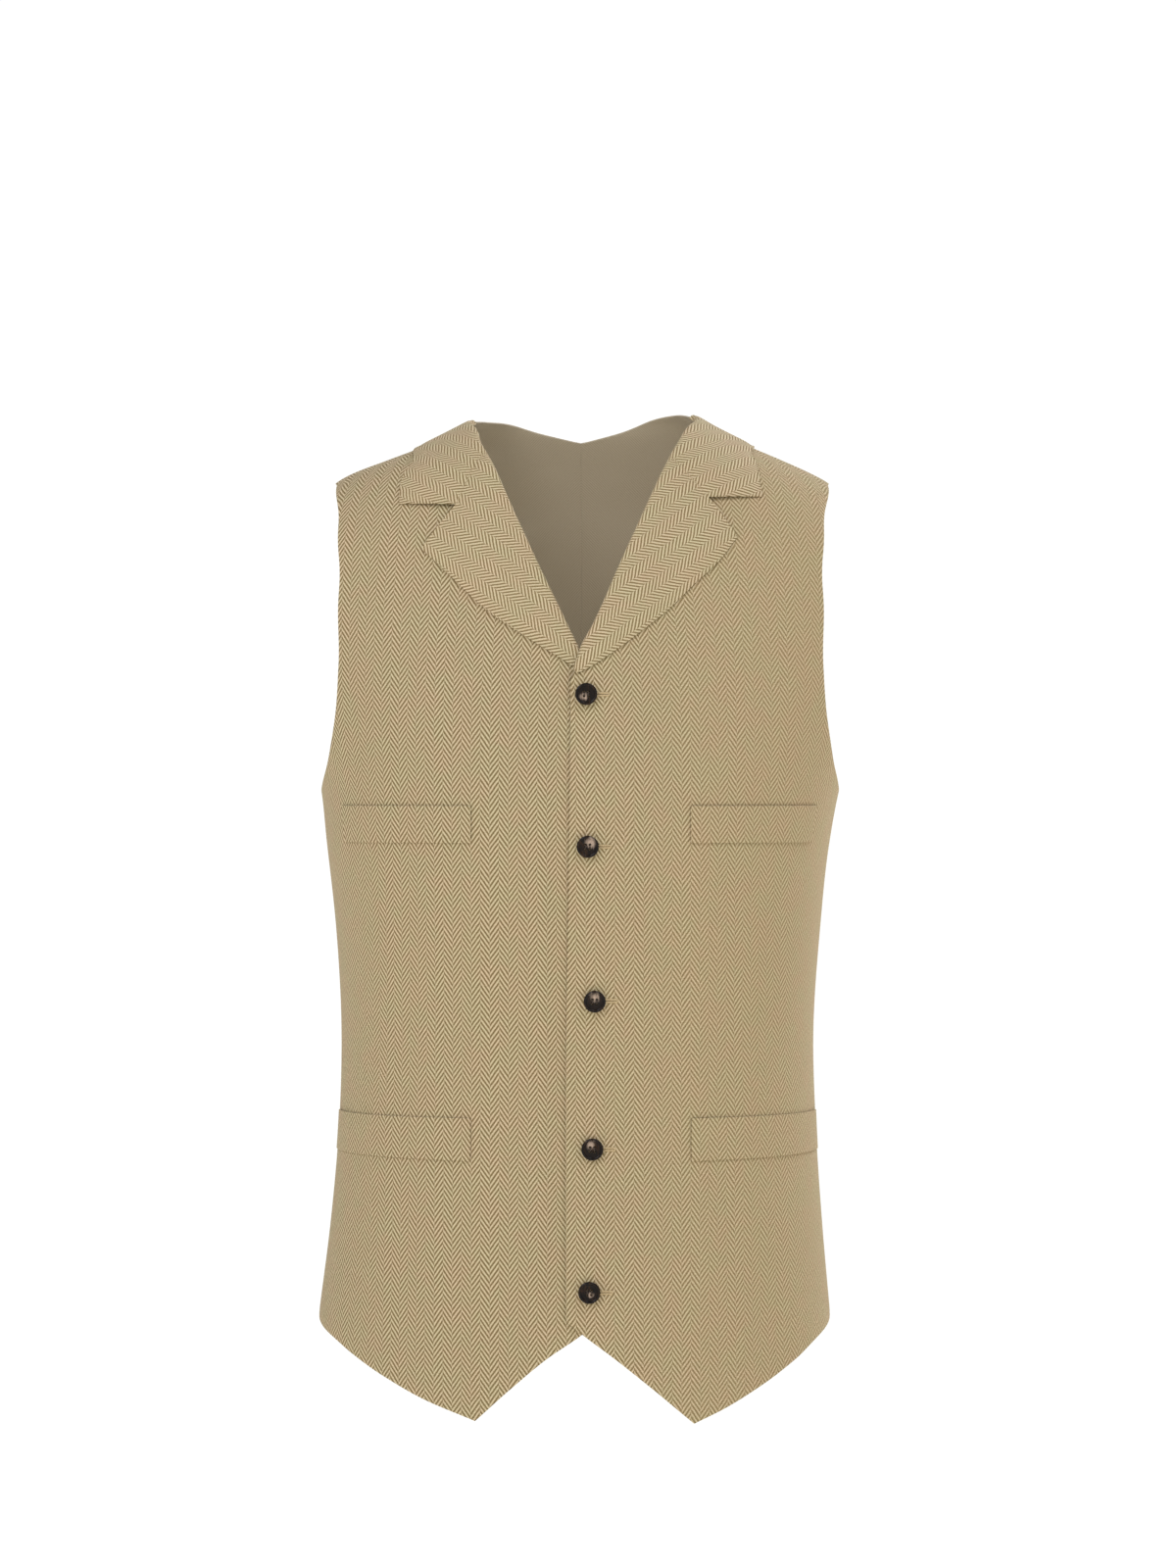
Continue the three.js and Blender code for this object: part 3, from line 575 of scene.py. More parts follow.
def flatten(points, guess, hold=0.0, rounds=60):
    """Lays a grid of points flat, as its cloth was cut, as rigidly as possible, from a first guess to
    which each point is held with a weight of its own. In each round every triangle takes the turn that
    fits it best, and one least-squares step, with cotangent weights, joins the turned ones again."""
    rows, columns = points.shape[:2]
    number = np.arange(rows * columns).reshape(rows, columns)
    a, b, c, d = number[:-1, :-1], number[:-1, 1:], number[1:, 1:], number[1:, :-1]
    corners = np.concatenate([np.stack([a, b, c], -1), np.stack([a, c, d], -1)]).reshape(-1, 3)
    spots = points.reshape(-1, 3)
    first = spots[corners[:, 1]] - spots[corners[:, 0]]
    second = spots[corners[:, 2]] - spots[corners[:, 0]]
    base = np.linalg.norm(first, axis=1)
    local = np.zeros((len(corners), 3, 2))
    local[:, 1, 0] = base
    local[:, 2, 0] = (first * second).sum(1) / base
    local[:, 2, 1] = np.linalg.norm(np.cross(first, second), axis=1) / base
    edges, system = [], np.zeros((len(spots), len(spots)))
    for k in range(3):
        i, j = (k + 1) % 3, (k + 2) % 3
        p, q = local[:, i] - local[:, k], local[:, j] - local[:, k]
        weight = (p * q).sum(1) / (p[:, 0] * q[:, 1] - p[:, 1] * q[:, 0])
        start, end = corners[:, i], corners[:, j]
        edges.append((start, end, weight[:, None], local[:, i] - local[:, j]))
        for m, n, sign in ((start, end, -1), (end, start, -1), (start, start, 1), (end, end, 1)):
            np.add.at(system, (m, n), sign * weight)
    flat = guess.reshape(-1, 2)
    hold = (hold + np.zeros((rows, columns))).reshape(-1, 1)
    hold[0] += 1
    held = hold * flat
    inverse = np.linalg.inv(system + np.diag(hold[:, 0]))
    for _ in range(rounds):
        turn = np.zeros((len(corners), 2))
        for start, end, weight, edge in edges:
            moved = weight * (flat[start] - flat[end])
            turn[:, 0] += (moved * edge).sum(1)
            turn[:, 1] += moved[:, 1] * edge[:, 0] - moved[:, 0] * edge[:, 1]
        cos, sin = unit(turn).T[..., None]
        pull = held.copy()
        for start, end, weight, edge in edges:
            turned = weight * np.concatenate([edge[:, :1] * cos - edge[:, 1:] * sin,
                                              edge[:, :1] * sin + edge[:, 1:] * cos], 1)
            np.add.at(pull, start, turned)
            np.add.at(pull, end, -turned)
        flat = inverse @ pull
    return flat.reshape(rows, columns, 2)


def grid_sample(grid, at_rows, at_columns):
    """A grid at fractional rows and columns, straight between its own."""
    low = np.clip(at_rows.astype(int), 0, grid.shape[0] - 2)
    t = (at_rows - low)[:, None, None]
    part = grid[low] * (1 - t) + grid[low + 1] * t
    low = np.clip(at_columns.astype(int), 0, grid.shape[1] - 2)
    t = (at_columns - low)[None, :, None]
    return part[:, low] * (1 - t) + part[:, low + 1] * t


def refined(flat, guess, steps_of_flat, fine_guess, steps_of_fine):
    """The flat places of a finer grid: its own guess, with the coarse grid's departure from its guess."""
    pairs = zip(steps_of_fine, steps_of_flat)
    at = [np.interp(fine, coarse, np.arange(len(coarse))) for fine, coarse in pairs]
    return fine_guess + grid_sample(flat - guess, *at)


def turned(flat, degrees):
    """Flat points turned so that a direction that many degrees from v towards u becomes v."""
    c, s = np.cos(np.radians(degrees)), np.sin(np.radians(degrees))
    return np.stack([flat[..., 0] * c - flat[..., 1] * s, flat[..., 0] * s + flat[..., 1] * c], -1)


def lean(flat, run):
    """The angle from v towards u, in degrees, of the direction from the first to the last row of a run."""
    du, dv = (flat[run[-1]] - flat[run[0]]).mean(0)
    return np.degrees(np.arctan2(du, dv))


def put(name, data):
    """A new object of that name and data in the scene."""
    made = bpy.data.objects.new(name, data)
    bpy.context.scene.collection.objects.link(made)
    return made


def new_piece(name, node, slot, points, faces, materials, finishes=None, maps=None):
    """A mesh from points in millimetres and faces, with smooth shading, its UV maps given per point and
    its faces' materials. It rides on the garment's one body and stands for its CAD node."""
    mesh = bpy.data.meshes.new(name)
    mesh.from_pydata((np.asarray(points) * MM).tolist(), [], [list(map(int, face)) for face in faces])
    mesh.polygons.foreach_set("use_smooth", np.ones(len(mesh.polygons), bool))
    for material in materials:
        mesh.materials.append(material)
    if finishes is not None:
        mesh.polygons.foreach_set("material_index", np.asarray(finishes, np.int32))
    corner = np.zeros(len(mesh.loops), np.int32)
    mesh.loops.foreach_get("vertex_index", corner)
    for label, values in (maps or {}).items():
        at_corners = np.asarray(values)[corner].astype(np.float32)
        mesh.uv_layers.new(name=label).data.foreach_set("uv", at_corners.ravel())
    mesh.update()
    piece = put(name, mesh)
    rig.ride(piece, "root")
    if node:
        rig.replaces(piece, node)
    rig.slot(piece, slot)
    return piece


def grid_faces(number):
    """The four-sided faces of a grid of point numbers."""
    a, b, c, d = number[:-1, :-1], number[:-1, 1:], number[1:, 1:], number[1:, :-1]
    return np.stack([a, b, c, d], -1).reshape(-1, 4)


def outward(points, faces):
    """Four-sided faces turned so that they point out of the solid, by the sign of its volume."""
    p, q, r, s = (points[faces[:, k]] for k in range(4))
    volume = (p * np.cross(q, r)).sum() + (p * np.cross(r, s)).sum()
    return faces if volume > 0 else faces[:, ::-1]


def shell(name, slot, foot, away, thick, uv, materials, press=0.3, reach=3.0, dent=0.0):
    """Cloth as two faces that meet in a half-round edge. A point at a height h over the inner face is
    foot + away * h. Within half the thickness of the border both faces come to the middle as quarter
    circles do, and the outer one is pressed a little flatter over the next few millimetres."""
    distance = border_distance(foot + away * thick)
    share = np.clip(distance / (thick / 2), 0, 1)
    swell = np.sqrt(1 - (1 - share) ** 2)
    pressed = (press * np.exp(-((distance / reach) ** 2)) + dent) * share
    top = foot + away * (thick / 2 * (1 + swell) - pressed)[..., None]
    under = foot + away * (thick / 2 * (1 - swell))[..., None]
    rows, columns = distance.shape
    outer = np.arange(rows * columns).reshape(rows, columns)
    inner = outer.copy()
    inner[1:-1, 1:-1] = rows * columns + np.arange((rows - 2) * (columns - 2)).reshape(rows - 2, -1)
    points = np.concatenate([top.reshape(-1, 3), under[1:-1, 1:-1].reshape(-1, 3)])
    outer_faces, inner_faces = grid_faces(outer), grid_faces(inner)[:, ::-1]
    faces = outward(points, np.concatenate([outer_faces, inner_faces]))
    finishes = np.repeat([0, len(materials) - 1], [len(outer_faces), len(inner_faces)])
    maps = {"cloth": np.concatenate([uv.reshape(-1, 2), uv[1:-1, 1:-1].reshape(-1, 2)])}
    return new_piece(f"cloth_{name}", name, slot, points, faces, materials, finishes, maps)


def fold(side):
    """The fold at dense steps: the place of the front's edge inside it, the direction from the fold over
    the front, and the normal. It turns square into the shoulder seam over its last step."""
    seam = side_view(side, (SEAM_LAP / 2, SHOULDER[side]["neck"]))
    places = np.vstack([front_view(ROLL[side]), seam])
    gorge = LAPEL[side]["gorge"]
    line = joined(
        stretch(places, -np.inf, gorge, LAPEL_STEPS * DENSE),
        stretch(places, gorge, np.inf, COLLAR_STEPS * DENSE),
    )
    along = unit(np.gradient(form_point(line), axis=0))
    near_seam = smooth(np.arange(len(line)) / DENSE, FOLD_STEPS - 1.3, FOLD_STEPS)[:, None]
    across_seam = np.array([0.0, 1.0, 0.0])
    along = unit(along * (1 - near_seam) + across_seam * near_seam)
    normal = form_normal(line)
    over = unit(np.cross(normal, along))
    over *= np.sign(over[:, :1]) * SIDES[side]
    return slide(line, over, LAPEL_WALL + SEAM_GAP), over, normal


def side_border(side, facing, armhole, upper_steps):
    """The side seam and armhole of a front, which faces -1, or of a back, which faces 1."""
    y = SIDE_SEAM["y"] - facing * SEAM_LAP / 2
    heights = np.linspace(SIDE_SEAM["hem"], SIDE_SEAM["underarm"], SIDE_STEPS * DENSE + 1)
    seam = side_view(side, np.stack([np.full_like(heights, y), heights], -1))
    tip = side_view(side, (-facing * SEAM_LAP / 2, SHOULDER[side]["tip"]))
    hole = walk(np.vstack([seam[-1], side_view(side, armhole), tip]), upper_steps * DENSE)
    return joined(seam, hole)


def shoulder_border(side, facing, neck, columns, end=None):
    """A seam line along the shoulder from a height at the neck to another towards the tip."""
    end = SHOULDER[side]["tip"] if end is None else end
    heights = np.linspace(neck, end, columns * DENSE + 1)
    return side_view(side, np.stack([np.full_like(heights, -facing * SEAM_LAP / 2), heights], -1))


def front_borders(side, fold_places):
    edge = front_view(FRONT_EDGE[side])
    lower = stretch(edge, -np.inf, SIDE_SEAM["underarm"], SIDE_STEPS * DENSE)
    upper = stretch(edge, SIDE_SEAM["underarm"], np.inf, EDGE_STEPS * DENSE)
    to_fold = straight(upper[-1], fold_places[0], BREAK_STEPS * DENSE)
    left = joined(lower, upper, to_fold, fold_places)
    right = side_border(side, -1, ARMHOLE_FRONT, FRONT_STEPS - SIDE_STEPS)
    hem = HEM[side]
    point_step = round(FRONT_COLUMNS * HEM_POINT)
    point = front_view(hem["point"])
    towards_edge = walk(np.vstack([edge[0], front_view(hem["inner"]), point]), point_step * DENSE)
    rest = (FRONT_COLUMNS - point_step) * DENSE
    bottom = joined(towards_edge, walk(np.vstack([point, front_view(hem["outer"]), right[0]]), rest))
    top = shoulder_border(side, -1, left[-1, 1], FRONT_COLUMNS)
    left[-1] = top[0]
    return left, right, bottom, top


def back_borders(side):
    def seam_phi(z):
        return SIDES[side] * (np.pi + SEAM_LAP / 2 / form_value("back", z))

    neck_point = side_view(side, (-SEAM_LAP / 2, SHOULDER[side]["neck"]))
    neckline = walk(np.vstack([plan_view(side, BACK_NECK), neck_point]), NECK_STEPS * DENSE)
    foot = neckline[0, 1]
    heights = joined(
        np.linspace(BACK_HEM, SIDE_SEAM["underarm"], SIDE_STEPS * DENSE + 1)[:, None],
        np.linspace(SIDE_SEAM["underarm"], foot, BLADE_STEPS * DENSE + 1)[:, None],
    )[:, 0]
    neckline[0, 0] = seam_phi(foot)
    left = joined(np.stack([seam_phi(heights), heights], -1), neckline)
    right = side_border(side, 1, ARMHOLE_BACK, BACK_STEPS - SIDE_STEPS)
    bottom = walk(np.vstack([left[0], (left[0] + right[0]) / 2, right[0]]), BACK_COLUMNS * DENSE)
    return left, right, bottom, shoulder_border(side, 1, SHOULDER[side]["neck"], BACK_COLUMNS)


def pocket_mouths(side, place):
    """How deep the cloth dips into the pockets, from behind each welt's top edge to just above it. The
    dip fades out towards its ends, over a small angle in radians."""
    depth, fade = 0, 0.012
    for welt in WELTS.values():
        start = front_view((SIDES[side] * welt["inner"], welt["top"]))[0]
        end = side_view(side, (welt["outer"], welt["top"]))[0]
        phi, above = place[..., 0] * SIDES[side], place[..., 1] - welt["top"]
        low, high = sorted([start * SIDES[side], end * SIDES[side]])
        within = smooth(phi, low, low + fade) * (1 - smooth(phi, high - fade, high))
        depth = depth + MOUTH[side] * within * smooth(above, -6, -3.5) * (1 - smooth(above, 0.5, 1.8))
    return depth


def front(side, fold_line, materials):
    """A front: hem to shoulder seam, and front edge and fold to side seam and armhole. Its herringbone
    stands upright up to the chest, and from there up it lies as on the flattened cloth."""
    borders = front_borders(side, fold_line[0])
    mouths = [np.arange(*ends, MOUTH_ROW_STEP) for ends in MOUTH_ROWS]
    rows = steps(FRONT_STEPS, 5, 28, 9, mouths)
    columns = steps(FRONT_COLUMNS, 5, 11, 11)
    place = patch(borders, rows, columns)
    foot = off_front(side, place, -FRONT_WALL)
    coarse_steps = np.arange(FRONT_STEPS + 1.0), np.arange(FRONT_COLUMNS + 1.0)
    coarse_place = patch(borders, *coarse_steps)
    coarse = off_front(side, coarse_place, 0)
    mirror = (SIDES[side], 1)
    guess = round_form(coarse_place) * mirror
    firmness = np.maximum(0, (UPRIGHT["below"] - coarse[..., 2]) / UPRIGHT["reach"]) ** 2
    flat = flatten(coarse, guess, UPRIGHT["hold"] * firmness)
    fine = refined(flat, guess, coarse_steps, round_form(place) * mirror, (rows, columns))
    piece = shell(f"front_{side}", "suiting", foot, form_normal(place), FRONT_WALL, fine * mirror, materials,
                  dent=pocket_mouths(side, place))
    return piece, flat


def back(side, materials):
    """A back half: hem to shoulder seam, and centre seam and neckline to side seam and armhole."""
    borders = back_borders(side)
    rows, columns = steps(BACK_STEPS, 5, 28, 12), steps(BACK_COLUMNS, 5, 13, 13)
    place = patch(borders, rows, columns)
    foot = off_back(side, place, -BACK_WALL)
    coarse_steps = np.arange(BACK_STEPS + 1.0), np.arange(BACK_COLUMNS + 1.0)
    coarse_place = patch(borders, *coarse_steps)
    coarse = off_back(side, coarse_place, 0)
    guess = along_grid(coarse)
    flat = flatten(coarse, guess)
    away = form_normal(place)
    uv = refined(flat, guess, coarse_steps, along_grid(foot + away * BACK_WALL), (rows, columns))
    piece = shell(f"back_{side}", "back_cloth", foot, away, BACK_WALL, uv, materials, press=0.5)
    return piece, flat


def flap_grid(side, fold_line, flap, rows, columns, softness):
    """The inner face and outward direction of a lapel or collar. Its columns run from the inner end of
    the stand, round the front's edge as a half turn, and over the front to the outer edge, where it
    stands off by a half sine of the share of its width."""
    places, over, normal = (sample(line, rows * DENSE)[:, None] for line in fold_line)
    over, normal = unit(over), unit(normal)
    middle = LAY_GAP - SEAM_GAP
    edge = off_front(side, places, 0)
    stand = columns[columns < 1][None, :, None]
    stand_foot = edge + over * (middle - LAY_GAP) - normal * FRONT_WALL * (1 - stand)
    stand_away = -over + 0 * stand
    bend = columns[(columns >= 1) & (columns < FOLD_COLUMNS)][None, :, None]
    angle = np.pi - (bend - 1) / (FOLD_COLUMNS - 1) * np.pi / 2
    bend_away = over * np.cos(angle) + normal * np.sin(angle)
    bend_foot = edge + over * middle + bend_away * LAY_GAP
    share = (columns[columns >= FOLD_COLUMNS][None] - FOLD_COLUMNS) / FLAP_COLUMNS
    roll = SOFT_ROLL * softness(rows / rows[-1])[:, None] * np.sin(np.pi * share)
    gap = LAY_GAP + (EDGE_GAP - LAY_GAP) * share**1.5
    lying_foot = off_front(side, flap, gap + roll) + over * middle * ((1 - share) ** 4)[..., None]
    foot = np.concatenate([stand_foot, bend_foot, lying_foot], 1)
    away = np.concatenate([stand_away, bend_away, form_normal(flap)], 1)
    return foot, away


def flap_columns(fine):
    bend = np.linspace(1, FOLD_COLUMNS, 9)
    edge = FOLD_COLUMNS + steps(FLAP_COLUMNS, fine, 9, 9)
    return np.unique(np.concatenate([[0, 0.15, 0.4, 0.7], bend, edge[edge > FOLD_COLUMNS + 0.1]]))


def folded(name, side, fold_line, borders, rows, columns, reaches, softness, materials):
    """A lapel or collar as a shell, with its herringbone laid by the flattened flap."""
    def at(these_rows, these_columns):
        lying = these_columns[these_columns >= FOLD_COLUMNS] - FOLD_COLUMNS
        flap = patch(borders, these_rows, lying, *reaches)
        return flap_grid(side, fold_line, flap, these_rows, these_columns, softness)

    foot, away = at(rows, columns)
    coarse_rows = np.arange(0, rows[-1] + 0.1, 0.5)
    coarse_columns = np.concatenate([[0, 1, 2.5], np.arange(FOLD_COLUMNS, columns[-1] + 0.1, 0.5)])
    coarse_foot, coarse_away = at(coarse_rows, coarse_columns)
    coarse = coarse_foot + coarse_away * LAPEL_WALL
    guess = along_grid(coarse)
    flat = flatten(coarse, guess)
    along_fold = lean(flat[:, 3:5], [len(coarse_rows) // 4, -1])
    fine_guess = along_grid(foot + away * LAPEL_WALL)
    fine = refined(flat, guess, (coarse_rows, coarse_columns), fine_guess, (rows, columns))
    uv = turned(fine, along_fold + GRAIN[name]) * (SIDES[side], 1)
    piece = shell(f"{name}_{side}", "suiting", foot, away, LAPEL_WALL, uv, materials, press=0.9, reach=5.0)
    return piece, turned(flat, along_fold)


def corner_line(start, corner, end):
    """A border that turns at a corner halfway along its steps."""
    half = FLAP_COLUMNS // 2 * DENSE
    return joined(straight(start, corner, half), straight(corner, end, half))


def lapel(side, fold_line, materials):
    """The lapel ends at the gorge seam, which turns down at the notch to the lapel's point."""
    line = [part[: LAPEL_STEPS * DENSE + 1] for part in fold_line]
    left = line[0]
    right = walk(front_view(LAPEL[side]["edge"]), LAPEL_STEPS * DENSE)
    top = corner_line(left[-1], front_view(LAPEL[side]["notch"]), right[-1])
    borders = left, right, straight(left[0], right[0], FLAP_COLUMNS * DENSE), top
    rows = steps(LAPEL_STEPS, 8, 15, 15)
    return folded("lapel", side, line, borders, rows, flap_columns(6), (0.4, 0.35),
                  lambda t: smooth(t, 0.1, 0.5), materials)


def collar(side, fold_line, materials):
    """The collar laps the lapel by about a millimetre along the gorge, so that the seam is a shallow
    groove, and ends at the shoulder seam."""
    count, lap = COLLAR_STEPS * DENSE, 3
    at_gorge = np.linspace(LAPEL_STEPS * DENSE - lap, FOLD_STEPS * DENSE, count + 1)
    line = [sample(part, at_gorge) for part in fold_line]
    left = line[0]
    end = side_view(side, (SEAM_LAP / 2, COLLAR[side]["seam"]))
    right = walk(np.vstack([front_view(COLLAR[side]["edge"]), end]), count)
    down = np.array([-0.88 * SIDES[side], 0.0, -0.48])
    corner = slide(front_view(LAPEL[side]["notch"]), down, 0.9)
    bottom = corner_line(left[0], corner, right[0])
    top = shoulder_border(side, -1, left[-1, 1], FLAP_COLUMNS, COLLAR[side]["seam"])
    rows = steps(COLLAR_STEPS, 10, 9, 9)
    return folded("collar", side, line, (left, right, bottom, top), rows, flap_columns(6), (0.6, 0.5),
                  lambda t: 1 - t, materials)


def welt(side, size, materials):
    """A pocket welt: a strip laid on the front from its inner end towards the side seam. Its herringbone
    follows the front's, by the distance round from the centre front."""
    shape = WELTS[size]
    rows, columns = steps(1, 8, 26, 26), steps(11, 5, 11, 11)
    top, (inner_depth, outer_depth) = shape["top"], shape["depth"]
    ends = []
    for depth_inner, depth_outer in ((inner_depth, outer_depth), (0, 0)):
        start = front_view((SIDES[side] * shape["inner"], top - depth_inner))
        end = side_view(side, (shape["outer"], top - depth_outer))
        ends.append(start + (end - start) * (columns / columns[-1])[:, None])
    place = ends[0] + (ends[1] - ends[0]) * rows[:, None, None]
    foot = off_front(side, place, WELT_GAP)
    flat = round_form(place)
    name = f"welt_{size}_{side}"
    return shell(name, "suiting", foot, form_normal(place), WELT_WALL, flat, materials, press=0.1), flat


def declare(piece, flat, held, rests_on, with_pieces):
    """Declares a piece of cloth by the rectangle round its flattened grid and by its flat area, the sum
    of its cells, each half the cross product of its diagonals."""
    p, q = flat[1:, 1:] - flat[:-1, :-1], flat[1:, :-1] - flat[:-1, 1:]
    area = np.abs(p[..., 0] * q[..., 1] - p[..., 1] * q[..., 0]).sum() / 2 * MM**2
    size = np.ptp(flat.reshape(-1, 2), axis=0) * MM
    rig.sheet(piece, flat=tuple(size.tolist()), held=held, rests_on=rests_on, area=float(area),
             with_pieces=with_pieces)


# Buttons and buttonholes


def button_frame(x, z):
    """A button's seat on the raised left front: the point, its level and upright directions and normal."""
    r = BUTTON["radius"]
    spots = front_view([(x, z), (x + r, z), (x - r, z), (x, z + r), (x, z - r)])
    seat = off_front("left", spots, 0)
    normal = unit(np.cross(seat[1] - seat[2], seat[3] - seat[4]))
    level = unit(np.cross([0, 0, 1], normal))
    return seat[0], level, np.cross(normal, level), normal


def placed(seat_frame, local):
    """Local points, level, upright and out of the cloth, in the garment's frame."""
    seat, level, upright, normal = seat_frame
    return seat + local[..., :1] * level + local[..., 1:2] * upright + local[..., 2:] * normal


def turned_solid(profile, segments):
    """A closed solid of revolution from a profile of radius and height that starts and ends on its axis:
    a grid of angle by profile point, with one point at each pole."""
    profile = np.asarray(profile, float)
    angle = np.linspace(0, 2 * np.pi, segments, endpoint=False)[:, None]
    ring = profile[1:-1]
    points = np.stack([ring[:, 0] * np.cos(angle), ring[:, 0] * np.sin(angle), ring[:, 1] + 0 * angle], -1)
    points = np.concatenate([points.reshape(-1, 3), [[0, 0, profile[0, 1]], [0, 0, profile[-1, 1]]]])
    number = np.arange(segments * len(ring)).reshape(segments, -1)
    number = np.vstack([number, number[:1]])
    faces = grid_faces(number).tolist()
    low, high = len(points) - 2, len(points) - 1
    faces += [[low, int(b), int(a)] for a, b in zip(number[:-1, 0], number[1:, 0])]
    faces += [[high, int(a), int(b)] for a, b in zip(number[:-1, -1], number[1:, -1])]
    return points, [face[::-1] for face in faces]


def tube(path, radius, sides=8, closed=False):
    """A round tube along a path: at each point a ring in the plane of its two normals, with a flat cap
    at each end. The radius may differ from point to point."""
    path = np.asarray(path, float)
    if closed:
        tangent = unit(np.roll(path, -1, 0) - np.roll(path, 1, 0))
    else:
        tangent = unit(np.gradient(path, axis=0))
    helper = np.where(np.abs(tangent[:, 1:2]) < 0.9, [[0, 1, 0]], [[1, 0, 0]])
    first = unit(np.cross(tangent, helper))
    second = np.cross(tangent, first)
    angle = np.linspace(0, 2 * np.pi, sides, endpoint=False)
    reach = np.broadcast_to(radius, len(path))[:, None, None]
    ring = np.cos(angle)[None, :, None] * first[:, None] + np.sin(angle)[None, :, None] * second[:, None]
    points = (path[:, None] + ring * reach).reshape(-1, 3)
    number = np.arange(len(path) * sides).reshape(len(path), sides)
    number = np.hstack([number, number[:, :1]])
    if closed:
        number = np.vstack([number, number[:1]])
    faces = grid_faces(number).tolist()
    if not closed:
        faces += [number[0, :-1].tolist(), number[-1, -2::-1].tolist()]
    return points, faces


def together(parts):
    """Several parts of points and faces as one."""
    points, faces, start = [], [], 0
    for part_points, part_faces in parts:
        points.append(part_points)
        faces += [[start + i for i in face] for face in part_faces]
        start += len(part_points)
    return np.concatenate(points), faces


def cut(piece, points, faces):
    """Cuts a closed solid, given in millimetres, out of a piece."""
    mesh = bpy.data.meshes.new("cutter")
    mesh.from_pydata((points * MM).tolist(), [], faces)
    cutter = put("cutter", mesh)
    boolean = piece.modifiers.new("cut", "BOOLEAN")
    boolean.object, boolean.operation, boolean.solver = cutter, "DIFFERENCE", "EXACT"
    ready = piece.evaluated_get(bpy.context.evaluated_depsgraph_get())
    done = bpy.data.meshes.new_from_object(ready)
    piece.modifiers.clear()
    piece.data = done
    done.set_sharp_from_angle(angle=0.7)
    bpy.data.objects.remove(cutter)


def keyhole(count):
    """The outline of a buttonhole: a round eye and a slit that runs away from the front edge."""
    length, width, eye = BUTTONHOLE["length"], BUTTONHOLE["width"], BUTTONHOLE["eyelet"]
    opening = np.arcsin(width / 2 / eye)
    angle = np.linspace(opening, 2 * np.pi - opening, count)
    eye_line = np.stack([np.cos(angle), np.sin(angle)], -1) * eye
    end = length - eye
    tail = np.linspace(eye_line[-1, 0], end, count)[1:]
    lower = np.stack([tail, np.full_like(tail, -width / 2)], -1)
    turn = np.linspace(-np.pi / 2, np.pi / 2, 7)[1:-1]
    tip = np.stack([end + width / 2 * np.cos(turn), width / 2 * np.sin(turn)], -1)
    return np.concatenate([eye_line, lower, tip, lower[::-1] * (1, -1)])


def keyhole_cutter(x, z):
    outline = keyhole(14)
    ends = [np.column_stack([outline, np.full(len(outline), out)]) for out in (-9.0, 9.0)]
    points = placed(button_frame(x, z), np.concatenate(ends))
    count = len(outline)
    around = [[i, (i + 1) % count, count + (i + 1) % count, count + i] for i in range(count)]
    return points, around + [list(range(count))[::-1], list(range(count, 2 * count))]


def buttonhole(number, x, z, material):
    """Close stitches round a keyhole buttonhole: a cord along its edge whose radius swells at every
    stitch, a raised cosine of the distance along it."""
    line = keyhole(90)
    length = np.concatenate([[0], np.cumsum(np.linalg.norm(np.diff(line, axis=0), axis=1))])
    count = int(length[-1] / STITCH["every"]) * 5
    spots = np.linspace(0, length[-1], count, endpoint=False)
    line = sample(line, np.interp(spots, length, np.arange(len(line))))
    centre = np.roll(line, -1, 0) - np.roll(line, 1, 0)
    outside = unit(np.stack([centre[:, 1], -centre[:, 0]], -1)) * STITCH["outside"]
    outside *= np.sign((outside * (line - (3.0, 0))).sum(1, keepdims=True))
    spots = (line + outside) + (x, z)
    seat = off_front("left", front_view(spots), STITCH["lift"])
    radius = STITCH["radius"] + STITCH["swell"] * np.cos(np.arange(count) / 5 * 2 * np.pi)
    points, faces = tube(seat, radius, 10, closed=True)
    name = f"buttonhole_{number}"
    return new_piece(name, None, "suiting", points, faces, [material])


def button(number, x, z, material):
    """A sew-through button turned from horn: a rounded rim round a dished middle with four holes."""
    size = BUTTON
    radius, thick, rim, bead = size["radius"], size["thick"], size["rim"], size["bead"]
    bow = np.linspace(0, np.pi, 13)
    crest = np.stack([radius - rim * bead * (1 - np.cos(bow)), thick - bead * (1 - np.sin(bow))], -1)
    low = np.stack([radius - rim * (1 - np.sin(bow[:7])), size["edge"] * (1 - np.cos(bow[:7]))], -1)
    floor = thick - size["dish"]
    share = np.linspace(0, 1, 7)[1:, None]
    slope_end = np.array([radius - 2.3 * rim, floor])
    inside = crest[-1] + (slope_end - crest[-1]) * np.hstack([share, smooth(share, 0, 1)])
    flat = [(r, floor) for r in (3.3, 2.9)]
    profile = np.vstack([[(0, 0)], [(radius - 1.6 * rim, 0)], low, crest, inside, flat, [(0, floor)]])
    points, faces = turned_solid(profile, 64)
    seat_frame = button_frame(x, z)
    # The pale cloud is a painted highlight, turned to where the light shows on this button
    toward, smallness = PAINTED_HIGHLIGHTS[number - 1]
    face = turned(points[:, :2], 90 - toward) * smallness / radius
    piece = new_piece(f"horn_button_{number}", f"button_{number}", "horn",
                      placed(seat_frame, points + (0, 0, BUTTON_SEAT)), faces, [material],
                      maps={"face": face})
    offset = size["hole_offset"]
    drill = [(0, -2), (size["hole"], -2), (size["hole"], 8), (0, 8)]
    drills = []
    for a, b in ((1, 1), (-1, 1), (-1, -1), (1, -1)):
        hole, hole_faces = turned_solid(drill, 18)
        drills.append((placed(seat_frame, hole + (a * offset, b * offset, 0)), hole_faces))
    cut(piece, *together(drills))
    return piece


